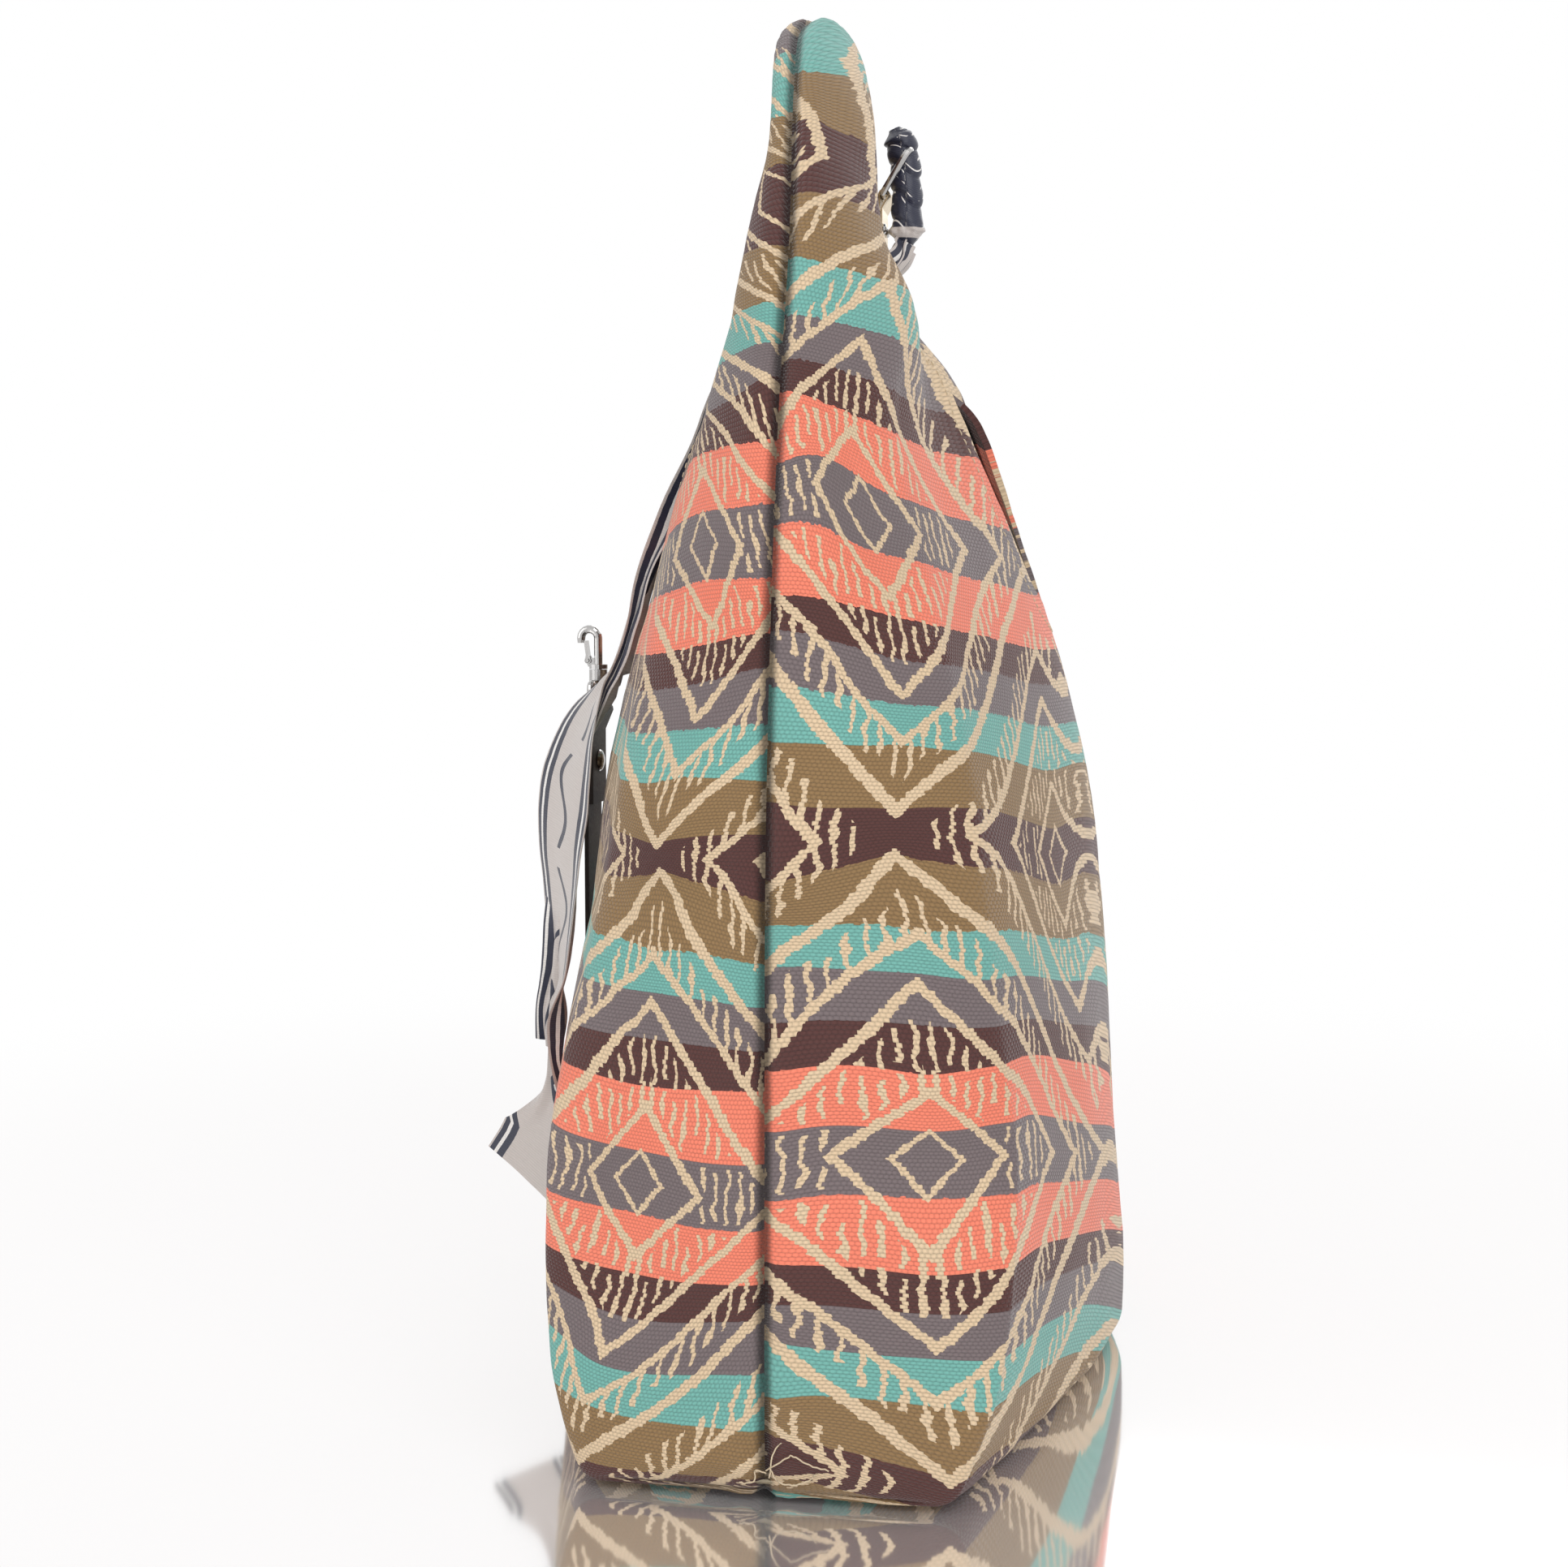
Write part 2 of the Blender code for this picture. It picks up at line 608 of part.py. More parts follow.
def build_swivel_loop(centre_y, metal):
    """Rectangular loop held in the leather, with the swivel's barrel on its upper bar."""
    half = CLOSING_WIDTH / 2 + SIDE_CLEARANCE + LOOP_WIRE / 2
    corner = 0.0025
    low, high = CLOSING_TOP_Z, CLOSING_TOP_Z + LOOP_HEIGHT
    path = []
    for cx, cz, start in ((half - corner, low + corner, -90), (half - corner, high - corner, 0),
                          (-half + corner, high - corner, 90), (-half + corner, low + corner, 180)):
        for k in range(4):
            a = math.radians(start + 30 * k)
            path.append(Vector((cx + corner * math.cos(a), centre_y, cz + corner * math.sin(a))))
    loop = tube("swivel_loop", path, LOOP_WIRE / 2, metal, sides=10, closed=True)
    base = high - LOOP_WIRE / 2
    barrel = cylinder("swivel_barrel", (0, centre_y, base), (0, centre_y, base + LOOP_WIRE + BARREL_HEIGHT),
                      BARREL_RADIUS, metal)
    join(loop, barrel)
    bore = cylinder("swivel_bore", (0, centre_y, base - 0.002), (0, centre_y, base + 0.02),
                    STEM_RADIUS + RUNNING_GAP, metal)
    cut(loop, bore)
    return base, base + LOOP_WIRE + BARREL_HEIGHT


def build_hook(centre_y, barrel_bottom, barrel_top, metal):
    """Snap hook in one casting: stem head, stem, collar, post, bend and tip."""
    head = barrel_bottom - RUNNING_GAP
    collar = barrel_top + RUNNING_GAP
    post = collar + COLLAR_HEIGHT
    bend = post + POST_HEIGHT
    wire = HOOK_WIRE / 2
    rows = [(head - STEM_CAP, STEM_HEAD), (head, STEM_HEAD), (head, STEM_RADIUS), (collar, STEM_RADIUS),
            (collar, BARREL_RADIUS), (post, BARREL_RADIUS), (post + GAP, POST_RADIUS),
            (bend - 0.5 * wire, wire)]
    path = [Vector((0, centre_y, z)) for z, _ in rows]
    radii = [radius for _, radius in rows]
    steps = 9
    for k in range(steps + 1):
        a = math.pi * k / steps
        path.append(Vector((0, centre_y - HOOK_BEND * (1 - math.cos(a)), bend + HOOK_BEND * math.sin(a))))
        radii.append(wire)
    tip = bend - HOOK_TIP
    path.append(Vector((0, centre_y - 2 * HOOK_BEND, tip)))
    radii.append(TIP_TAPER * wire)
    hook = tube("snap_hook", path, radii, metal, sides=14)
    pin_y = centre_y - LUG_REACH
    pin_z = post + GATE_EAR + GAP
    root_y, low, high = centre_y - 0.5 * POST_RADIUS, post - 0.5 * COLLAR_HEIGHT, pin_z + LUG_MARGIN
    lug = extrude_outline("gate_lug", [(root_y, low), (pin_y, low), (pin_y - LUG_MARGIN, pin_z),
                                       (pin_y, high), (root_y, high)], across_x(0, 2 * LUG_HALF), metal)
    join(hook, lug)
    pin_half = LUG_HALF + RUNNING_GAP + GATE_CHEEK + PIN_HEAD
    pin_ends = [(-pin_half, pin_y, pin_z), (pin_half, pin_y, pin_z)]
    join(hook, cylinder("gate_pin", *pin_ends, GATE_PIN, metal, sides=12))
    return pin_y, pin_z, tip


def build_gate(centre_y, pin_y, pin_z, tip, metal):
    """Sprung lever: two cheeks on the pin and a thumb plate that closes on the inside of the tip."""
    tip_inside = centre_y - 2 * HOOK_BEND + TIP_TAPER * HOOK_WIRE / 2
    half = GATE_THICKNESS / 2
    reach_y = tip_inside + GAP + half
    reach_z = tip + GATE_OVERLAP
    along = Vector((reach_y - pin_y, reach_z - pin_z))
    length = along.length
    along.normalize()
    across = Vector((-along.y, along.x))

    def at(forward, sideways):
        return (pin_y + along.x * forward + across.x * sideways,
                pin_z + along.y * forward + across.y * sideways)

    outline = [at(length, -half), at(length, half), at(GATE_EAR + 0.001, half)]
    for k in range(7):
        a = math.pi * (0.25 + 1.5 * k / 6)
        outline.append(at(GATE_EAR * math.cos(a), GATE_EAR * math.sin(a)))
    outline.append(at(GATE_EAR + 0.001, -half))
    room = LUG_HALF + RUNNING_GAP
    gate = extrude_outline("hook_gate", outline, across_x(0, 2 * (room + GATE_CHEEK)), metal)
    back = -2 * GATE_EAR
    front_end = GATE_EAR + 0.0006
    corners = [at(back, back), at(front_end, back), at(front_end, -back), at(back, -back)]
    slot = extrude_outline("gate_slot", corners, across_x(0, 2 * room), metal)
    cut(gate, slot)
    past = room + 2 * GATE_CHEEK
    hole = cylinder("gate_hole", (-past, pin_y, pin_z), (past, pin_y, pin_z), GATE_PIN + RUNNING_GAP,
                    metal, sides=12)
    cut(gate, hole)


def build_closing_ring(leather, metal):
    """Leather tab sewn inside the back, with the ring that the snap hook clips to."""
    inside = nearest_lining_y(TAB_WIDTH / 2, (TAB_TOP_Z - TAB_LENGTH, TAB_TOP_Z)) - GAP
    bar = CLOSING_RING_WIRE / 2
    turn = TAB_TOP_Z - TAB_LENGTH
    face = [(inside, TAB_TOP_Z)]
    under = [(inside - LEATHER, TAB_TOP_Z)]
    outline = folded_strip(face, under, -1, turn, -1, bar, LEATHER, TAB_TOP_Z)
    extrude_outline("closing_tab", outline, across_x(0, TAB_WIDTH), leather)
    centre_y = inside - LEATHER - GAP - bar
    ring = d_ring_path((0, centre_y, turn), Vector((0, 0, -1)), CLOSING_RING_WIDTH - CLOSING_RING_WIRE,
                       CLOSING_RING_DROP)
    tube("closing_ring", ring, bar, metal, sides=10, closed=True)
    return centre_y, turn


def build_scarf_ring(metal, bright, satin):
    """Metal plate riveted on the strap, its tilted ring, and the scarf wound round the ring."""
    half = PLATE_WIDTH / 2
    bar = RING_BAR / 2
    seat = highest_panel_y((RING_X - half - PLATE_MARGIN, RING_X + half + PLATE_MARGIN),
                           (RING_Z - PLATE_DROP - PLATE_MARGIN, RING_Z + 2 * PLATE_MARGIN)) + GAP
    outside = seat + 2 * PLATE_METAL + GAP
    low = RING_Z - PLATE_DROP
    face = [(seat, low)]
    under = [(seat + PLATE_METAL, low)]
    outline = folded_strip(face, under, 1, RING_Z, 1, bar, PLATE_METAL, low)
    plate = extrude_outline("ring_plate", outline, across_x(RING_X, PLATE_WIDTH), metal)
    for k, side in enumerate((-1, 1)):
        x, z = RING_X + side * 0.28 * PLATE_WIDTH, RING_Z - 0.68 * PLATE_DROP
        hole = cylinder(f"plate_hole_{k + 1}", (x, seat - 0.002, z), (x, outside + 0.002, z),
                        PLATE_RIVET_SHANK + RUNNING_GAP, metal)
        cut(plate, hole)
        profile = [(PLATE_RIVET_DOME, 0.3 * PLATE_RIVET_HEAD), (0.73 * PLATE_RIVET_DOME, 0.77 * PLATE_RIVET_HEAD),
                   (0.0, PLATE_RIVET_HEAD), (0.0, PLATE_RIVET_SHANK), (-2 * PLATE_METAL, PLATE_RIVET_SHANK)]
        path = [Vector((x, outside + GAP + along, z)) for along, _ in profile]
        tube(f"plate_rivet_{k + 1}", path, [radius for _, radius in profile], bright, sides=14)
    centre_y = seat + PLATE_METAL + GAP + bar
    tilt = math.radians(RING_TILT)
    rise = Vector((0, math.sin(tilt), math.cos(tilt)))
    pivot = Vector((RING_X, centre_y, RING_Z))
    ring_path = d_ring_path(pivot, rise, RING_WIDTH - RING_BAR, RING_REACH)
    tube("scarf_ring", ring_path, bar, bright, sides=8, closed=True)
    bow = pivot + rise * RING_REACH
    clear = outside + PLATE_RIVET_DOME + COIL_RADIUS * (1 + COIL_WAVE / 2) + 2 * GAP
    centres = [(RING_X + 0.004, bow.y - 0.0045, bow.z + 0.0125), (RING_X + 0.003, bow.y, bow.z + 0.001),
               (RING_X + 0.002, max(bow.y, clear) + 0.0020, bow.z - 0.014),
               (RING_X + 0.001, clear + 0.0012, low + 0.012), (RING_X, clear, low - 0.001)]
    path = smooth_path(centres, COIL_STEPS)
    radii = []
    for k in range(COIL_STEPS + 1):
        u = k / COIL_STEPS
        end = 0.45 + 0.55 * smooth(min(u, 1 - u) / 0.10)
        turn = 1 - COIL_WAVE / 2 + COIL_WAVE * abs(math.sin(math.pi * COIL_TURNS * u))
        radii.append(COIL_RADIUS * end * turn)
    coil = tube("scarf_coil", path, radii, satin, sides=12)
    tunnel = tube("ring_tunnel", ring_path, bar + GAP, satin, sides=8, closed=True)
    cut(coil, tunnel)
    return path[-1]


def on_front(x, z, turn, off):
    """Station of a tail that lies against the front panel, off clear of it where it comes nearest."""
    angle = math.radians(turn)
    across = [share * SCARF_WIDTH / 2 for share in (-1, -0.5, 0, 0.5, 1)]
    y = min(front(x + w * math.cos(angle), z, off) - w * math.sin(angle) for w in across)
    return (x, y, z, turn)


def behind(station, spacing, aside):
    """Station of the second tail, on the panel's side of the first and drawn out past its edge."""
    x, y, z, turn = station
    angle = math.radians(turn)
    return (x - spacing * math.sin(angle) - aside * math.cos(angle),
            y + spacing * math.cos(angle) - aside * math.sin(angle), z, turn)


def build_tails(start, satin):
    """Two satin tails from the coil through the arch and over the front mouth edge."""
    x, y, z = start
    mouth = MOUTH_HEIGHT
    rest = SCARF_REST
    above = rest + TAIL_SPACING
    through_arch = [
        (x + 0.010, y - 0.002, z - 0.019, 12), (x + 0.031, y - 0.012, z - 0.030, 35),
        (-0.030, -0.026, 0.462, 40), (-0.008, -0.043, 0.446, 34), (0.014, -0.060, 0.417, 18),
    ]
    over_edge = [
        (0.028, -0.0745, 0.376, 0), on_front(0.034, mouth + 0.008, 0, above),
        on_front(0.038, mouth - 0.016, 6, above), on_front(0.041, 0.283, 24, above),
        on_front(0.043, 0.252, 34, above), on_front(0.043, 0.215, 36, above),
        on_front(0.040, 0.175, 32, above), on_front(0.036, 0.140, 30, above),
    ]
    free_end = [on_front(0.031, 0.113, 48, rest), on_front(0.026, 0.090, 72, 1.3 * rest),
                on_front(0.021, 0.058, 80, 1.6 * rest)]
    gathered = [(x, y - 0.0014, z - 0.0012, 0), (x, y - 0.0014, z - 0.0080, 0)]
    ribbon("scarf_tail_long", gathered + through_arch + over_edge + free_end, satin, steps=44)
    gathered = [(x, y + 0.0018, z - 0.0012, 0), (x, y + 0.0018, z - 0.0080, 0)]
    lower = [(px, py + 0.0045, pz - 0.0065, turn) for px, py, pz, turn in through_arch]
    drawn_out = [0.0, 0.0, 0.0, 0.0, 0.002, 0.006, 0.012, 0.014]
    beside = [behind(station, TAIL_SPACING, aside) for station, aside in zip(over_edge, drawn_out)]
    ribbon("scarf_tail_short", gathered + lower + beside, satin, steps=40)


def main():
    for old in list(bpy.data.objects):
        bpy.data.objects.remove(old, do_unlink=True)
    canvas = material("canvas", (0.42, 0.33, 0.28), 0.92)
    canvas_back = material("canvas back", (0.46, 0.36, 0.30), 0.92)
    cotton = material("cotton lining", (0.55, 0.50, 0.42), 0.95)
    leather = material("dark leather", (0.035, 0.026, 0.024), 0.55)
    chrome = material("chrome", (0.82, 0.82, 0.84), 0.16, 1.0)
    plate_metal = material("pale gold", (0.80, 0.68, 0.48), 0.25, 1.0)
    satin = material("navy satin", (0.03, 0.035, 0.07), 0.35)
    build_panel("back_panel", 1, canvas_back)
    build_panel("front_panel", -1, canvas)
    build_lining(cotton)
    centre_y = build_closing_strap(leather, chrome)
    barrel_bottom, barrel_top = build_swivel_loop(centre_y, chrome)
    pin_y, pin_z, tip = build_hook(centre_y, barrel_bottom, barrel_top, chrome)
    build_gate(centre_y, pin_y, pin_z, tip, chrome)
    build_closing_ring(leather, chrome)
    coil_end = build_scarf_ring(plate_metal, chrome, satin)
    build_tails(coil_end, satin)


main()
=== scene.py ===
"""Looks of the canvas shoulder bag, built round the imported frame.

Metres, X along the bag, -Y the front, +Z up. Fabric coordinates are in centimetres: across counts
round the bag from the near end seam, up counts along the stripes of the print.
"""

import math

import bmesh
import bpy
import numpy as np
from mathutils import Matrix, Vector, noise


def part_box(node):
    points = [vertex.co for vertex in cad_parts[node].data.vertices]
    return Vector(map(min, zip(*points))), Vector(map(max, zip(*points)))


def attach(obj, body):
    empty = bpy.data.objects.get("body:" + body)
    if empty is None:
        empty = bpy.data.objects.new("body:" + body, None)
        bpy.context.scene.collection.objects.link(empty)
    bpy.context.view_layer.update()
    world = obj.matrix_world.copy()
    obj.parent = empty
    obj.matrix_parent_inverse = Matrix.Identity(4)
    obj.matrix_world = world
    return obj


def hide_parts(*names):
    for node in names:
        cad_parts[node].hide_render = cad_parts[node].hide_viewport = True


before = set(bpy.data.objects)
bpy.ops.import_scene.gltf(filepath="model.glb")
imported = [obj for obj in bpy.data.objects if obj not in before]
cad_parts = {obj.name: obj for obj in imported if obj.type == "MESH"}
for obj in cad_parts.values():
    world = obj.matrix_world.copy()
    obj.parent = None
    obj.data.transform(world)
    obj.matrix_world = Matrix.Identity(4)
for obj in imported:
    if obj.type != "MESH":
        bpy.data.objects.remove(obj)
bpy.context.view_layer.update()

# Camera of the photograph
CAMERA_PLACE = (0.9069, 0.1385, 0.319)
CAMERA_AZIMUTH = 100.5
CAMERA_PITCH = 4.6
CAMERA_LENS = 47.2
SENSOR = 36.0

# Body of the bag, as the frame has it
BAG_LENGTH = 0.400
BAG_HEIGHT = 0.579
MOUTH_HEIGHT = 0.325
MOUTH_HALF_SPAN = 0.0785
BELLY_WIDTH = 0.246
MOUTH_CORNER_HEIGHT = 0.457
FOOT_WIDTH = 0.132
END_WIDTH = 0.176
END_LIFT = 0.004
BOTTOM_FOLD = 0.013
END_FOLD = 0.030
STRAP_WIDTH = 0.050
STRAP_THICKNESS = 0.039
STRAP_LEAN = -0.009
STRAP_SKEW = 0.13
STRAP_TWIST = 0.011
STRAP_BLEND = (0.743, 0.864)        # shares of the height between which the body turns into the strap
HALF_LENGTH = BAG_LENGTH / 2

# What the photograph shows besides: a slimmer near leg of the strap, all of it a little lower
STRAP_SLIMMED = 0.16
STRAP_SLIM_UP = (0.480, 0.515)
STRAP_SLIM_ALONG = (-0.050, 0.020)
STRAP_LOWERED = 0.0062
STRAP_LOWERED_UP = (0.38, 0.56)

# Cloth of the bag
CANVAS = 0.0019
HEM = 0.012
HEM_PADDED = 0.0004         # how much thicker the canvas gets up to the mouth edge
HEM_RAISED = 0.0006
HEM_STEP = 0.0008           # width of the step down from the hem
HEM_THREAD = 0.8 * HEM      # from the mouth edge to the thread
THREAD_DENT = 0.0006        # how deep the thread pulls the cloth in
THREAD_DENT_WIDTH = 0.0011
SEAM_GROOVE = 0.0024        # its depth and its half width
SEAM_SWELL = 0.0009         # height of the cloth beside the groove
SEAM_SWELL_AT = (0.008, 0.005)      # from the seam to its middle, and its half width
PUCKER = 0.00035
PUCKER_PITCH = 0.011
PUCKER_REACH = 0.010
SEAM_TAUT = 0.6             # share of the slack that the seam takes out
SEAM_TAUT_REACH = 0.02
CORNER_FOLD = 0.0022        # depth of the fold between the bottom and the end
CORNER_FOLD_AT = (3.62, 0.05)       # its station and its half width, in stations
CORNER_FOLD_TO = (0.055, 0.004)     # how far it runs from the seam, and over what length it ends
HALVES_APART = 0.0002
OFF_FLOOR = 0.0003
LINING_THICKNESS = 0.0006
LINING_GAP = 0.0008
LINING_TO = 6.67            # last station that the lining reaches
LINING_FROM = 0.035         # where it starts below the mouth edge, as a share of the way to the seam
LINING_SLACK = 0.0012
LINING_WAVES = 34
# Waves of the slack in the canvas: how many to the metre along X, Y and Z, their start, their height
WRINKLES = [((11, 11, 11), (0, 0, 0), 0.0016), ((26, 26, 17), (3, 7, 1), 0.0009),
            ((60, 60, 60), (9, 2, 5), 0.00035)]

# Half width at mid-length, by share of the height
MIDDLE_PROFILE = [
    (0.000, 0.992), (0.069, 1.000), (0.155, 0.968), (0.276, 0.935), (0.345, 0.902), (0.415, 0.870),
    (0.466, 0.821), (0.528, 0.748), (0.587, 0.650), (0.648, 0.561), (0.708, 0.439), (0.755, 0.301),
]
# How much less the front bulges than the back towards the ends, by share of the height
FRONT_FLATTER = [
    (0.03, 0.0), (0.10, 0.003), (0.18, 0.0075), (0.27, 0.0085), (0.36, 0.012), (0.42, 0.014),
    (0.48, 0.0125), (0.55, 0.010), (0.62, 0.006), (0.74, 0.004), (0.80, 0.001), (0.83, 0.0),
]
FRONT_FULL = 0.12           # from mid-length out to where that is reached
# How much fuller the back's shoulders are than the front's, by share of the height
BACK_FULLER = [
    (0.635, 0.0), (0.67, 0.0010), (0.70, 0.0044), (0.727, 0.0094), (0.756, 0.0115), (0.784, 0.0078),
    (0.81, 0.0020), (0.83, 0.0),
]
# Half width at the ends
END_PROFILE = [
    (0.000, FOOT_WIDTH / END_WIDTH), (0.086, 0.93), (0.207, 1.00), (0.276, 0.93), (0.328, 0.86),
    (0.380, 0.79), (0.432, 0.73), (0.484, 0.65), (0.535, 0.56), (0.587, 0.47), (0.639, 0.39),
    (0.690, 0.335), (0.755, 0.30),
]

# Scarf and closing strap
SCARF_WIDTH = 0.050
SATIN = 0.0005
TAIL_GAP = 0.0026           # between the two tails where they lie together
RIBBON_REST = 0.0036        # a tail keeps at least this far out from the plain front, past its slack
PLEAT = 0.0043              # depth of the pleats where a tail is gathered to less than half its width
RIPPLE = 0.0010
CURL = 0.0012               # lift of a tail's edges
COIL_RADIUS = 0.0078
COIL_TURNS = 5
COIL_LINE = [(-0.078, 0.0090, 0.5490), (-0.079, 0.0128, 0.5396), (-0.079, 0.0146, 0.5246),
             (-0.080, 0.0150, 0.5080), (-0.081, 0.0146, 0.4950)]
LEATHER = 0.0020
LEATHER_GAP = 0.0003        # between the panel and the leather strip
CLOSING_WIDTH = 0.022

# Threads
THREAD_SIDES = 6
THREAD_RADIUS = 0.00032
STITCH_LENGTH = 0.0030
HEM_SPACING = 0.0042
STRAP_THREAD_RADIUS = 0.00035
STRAP_SPACING = 0.0045
STRAP_INSET = 0.0030
STRAP_SEWN_TO = 0.12        # height up to which the strip is sewn on
STRAP_CROSSING = 0.118      # height of the row across it
THREAD_END_RADIUS = 0.00028

# Floor and studio
FLOOR_REACH = 6.0
FLOOR_MATT = (0.15, 0.15, 0.15, 1.0)
FLOOR_GLOSS = (0.83, 0.82, 0.82, 1.0)
FLOOR_ROUGHNESS = 0.08
FLOOR_LIFT = 0.006
FLOOR_WHITE_FROM = (0.42, 0.95)
STUDIO_DIMMED = 0.62        # strength of the studio where neither camera nor mirror sees it
LIT_SPOT = (0, 0, 0.25)
LIGHTS = [("key", (1.3, 1.0, 1.5), 1.2, 14), ("fill", (1.4, -1.2, 0.9), 1.4, 9),
          ("back", (-1.4, 0.2, 1.4), 1.4, 8)]       # name, place, size and power

# Print of the canvas, in centimetres of cloth
HALF_REPEAT_UP = 11.9
HALF_REPEAT_ACROSS = 11.35
DIAMOND_SLANT = 1.05        # width of a diamond over its height
STROKE_PITCH = 0.58
WEAVE_PITCH = 0.18          # between the yarns
YARN_RISE = 0.8             # height of a row of the weave over its pitch
CELL_HOLD = 0.42            # how far the print's edges are drawn to the weave
PRINT_REACH_UP = (-1, 58)   # heights between which the fit to the picture changes
PRINT_NARROWING = 0.6       # how much a mark's reach round the bag shrinks for each cm up or down
PRINT_FADE = 9              # how far past that reach the fit fades out
PRINT_SPREAD = 10.0
PRINT_STIFFNESS = 0.002
# Height on the near seam, half repeats of the stripes
STRIPE_KNOTS = [(-6.0, -0.57), (0.73, 0.0), (12.59, 1.0), (24.45, 2.0), (36.4, 3.0), (49.0, 4.0),
                (54.2, 4.435), (60.0, 4.95)]
STRIPE_RUN = 13.0           # how far round from the seam the stripes go on sloping
FRONT_DROP = 1.2            # how much lower the front's stripes start on the seam, below the strap
CORNER_SAVES = 0.013        # metres of cloth that a rounded upright corner saves
# By height on the back, 1, and the front, -1: slope of the stripes, then the column of diamonds
STRIPE_SLOPE = {1: [(0, 0.12), (5, 0.12), (12, -0.06), (24, -0.12), (36, -0.24), (48, -0.25)],
                -1: [(0, 0.20), (5, 0.22), (12, 0.24), (24, 0.0), (36, -0.20), (48, -0.30)]}
DIAMOND_COLUMN = {1: [(0, 6.8), (12.7, 5.8), (24.2, 4.5), (35.6, 3.8), (49, 3.4)],
                  -1: [(0, 5.6), (11.7, 4.9), (23.5, 4.2), (34.3, 3.0), (49, 2.6)]}
PICTURE_WIDTH, PICTURE_HEIGHT = 1932, 1931

# Where the print shows in the picture, on the back and the front: x and y in its pixels, how far
# across from the column of diamonds beside the near seam, and how far up the cloth.
DIAMOND_MARKS = {
    1: [
        (1144, 1432, 0.0, 11.9), (1139, 1339, 0.0, 14.76), (1150, 1543, 0.0, 9.04),
        (1028, 1436, -3.0, 11.9), (1239, 1429, 3.0, 11.9), (1135, 1212, 0.0, 18.15),
        (1152, 1658, 0.0, 5.65), (1287, 1429, 6.56, 11.9), (1125, 1144, 0.0, 20.2), (1155, 1725, 0.0, 3.6),
        (1100, 1052, 0.0, 22.7), (1170, 1818, 0.0, 1.1), (1190, 1036, 2.6, 23.8), (1008, 1029, -2.6, 23.8),
        (1245, 1038, 4.74, 23.8), (1300, 1060, 11.3, 23.8), (1066, 638, 0.0, 35.7), (1055, 536, 0.0, 38.56),
        (1089, 731, 0.0, 32.84), (1130, 658, 3.0, 35.7), (1007, 590, -3.0, 35.7), (1082, 427, 0.0, 41.95),
        (1107, 849, 0.0, 29.45), (1191, 676, 6.56, 35.7), (1107, 912, 0.0, 27.4), (1232, 685, 8.7, 35.7),
        (1088, 359, 0.0, 44.0), (1098, 994, 0.0, 24.9), (1261, 699, 11.34, 35.7), (1040, 207, -2.6, 47.6),
    ],
    -1: [
        (862, 674, 0.0, 35.7), (864, 581, 0.0, 38.56), (873, 778, 0.0, 32.84), (830, 688, 3.0, 35.7),
        (907, 674, -3.0, 35.7), (860, 889, 0.0, 29.45), (841, 948, 0.0, 27.4), (814, 1039, 0.0, 24.9),
        (810, 1083, 0.0, 22.7), (802, 1179, 0.0, 20.2), (800, 1241, 0.0, 18.15), (800, 1364, 0.0, 14.76),
        (789, 1453, 0.0, 11.9), (859, 1471, -3.0, 11.9), (729, 1439, 3.0, 11.9), (788, 1551, 0.0, 9.04),
        (747, 1660, 0.0, 5.65), (717, 1725, 0.0, 3.6), (872, 1063, -2.6, 23.8), (935, 1068, -4.74, 23.8),
        (764, 1054, 2.6, 23.8), (892, 481, 0.0, 41.95),
    ],
}
# The same where only the stripe is known: x, y and how far up
STRIPE_MARKS = {
    1: [
        (1362, 1324, 15.4), (1373, 1456, 10.7), (1374, 1610, 5.2), (1335, 1036, 23.8), (1000, 95, 51.0),
        (1000, 152, 48.7), (985, 238, 46.5), (970, 313, 44.2), (1029, 332, 44.2), (962, 382, 42.4),
        (966, 436, 40.7), (960, 486, 39.2), (962, 565, 36.9), (964, 645, 34.5), (964, 731, 32.2),
        (966, 785, 30.7), (960, 837, 29.0), (957, 912, 27.2), (951, 979, 24.9), (958, 1078, 22.7),
        (958, 1140, 20.4), (958, 1203, 18.6), (958, 1318, 15.4), (946, 1391, 13.1), (946, 1474, 10.7),
        (946, 1563, 8.4), (943, 1610, 6.9), (938, 1643, 5.2), (938, 1722, 3.4), (938, 1767, 1.08),
        (1040, 34, 52.5), (1052, 62, 52.0),
    ],
    -1: [
        (942, 540, 39.2), (942, 615, 36.9), (942, 717, 34.5), (942, 830, 30.7), (942, 955, 27.2),
        (942, 1116, 22.7), (942, 1241, 18.6), (942, 1353, 15.4), (942, 1518, 10.7), (942, 1633, 6.9),
        (942, 1767, 3.4), (697, 1314, 15.4), (677, 1461, 10.7), (682, 1640, 5.2), (972, 140, 51.0),
        (970, 198, 48.7), (962, 300, 46.5), (953, 369, 44.2), (953, 422, 42.4), (953, 470, 40.7),
        (974, 80, 52.3),
    ],
}


def srgb(red, green, blue):
    """Linear colour of an 8-bit screen colour."""
    def linear(value):
        value /= 255
        return value / 12.92 if value <= 0.04045 else ((value + 0.055) / 1.055) ** 2.4
    return (linear(red), linear(green), linear(blue), 1.0)


TEAL = srgb(120, 182, 172)
CORAL = srgb(250, 138, 112)
BROWN = srgb(92, 60, 57)
GREY = srgb(124, 112, 113)
OLIVE = srgb(148, 119, 82)
CREAM = srgb(226, 200, 166)
NAVY = srgb(34, 37, 58)
RIBBON = srgb(201, 192, 187)
PAPER = srgb(238, 234, 230)
LINING = srgb(196, 184, 160)


def smooth(value):
    """Soft step from 0 to 1."""
    value = min(max(value, 0.0), 1.0)
    return value * value * (3 - 2 * value)


def smooth_between(value, low, high):
    """Soft step from 0 at low to 1 at high."""
    return smooth((value - low) / (high - low))


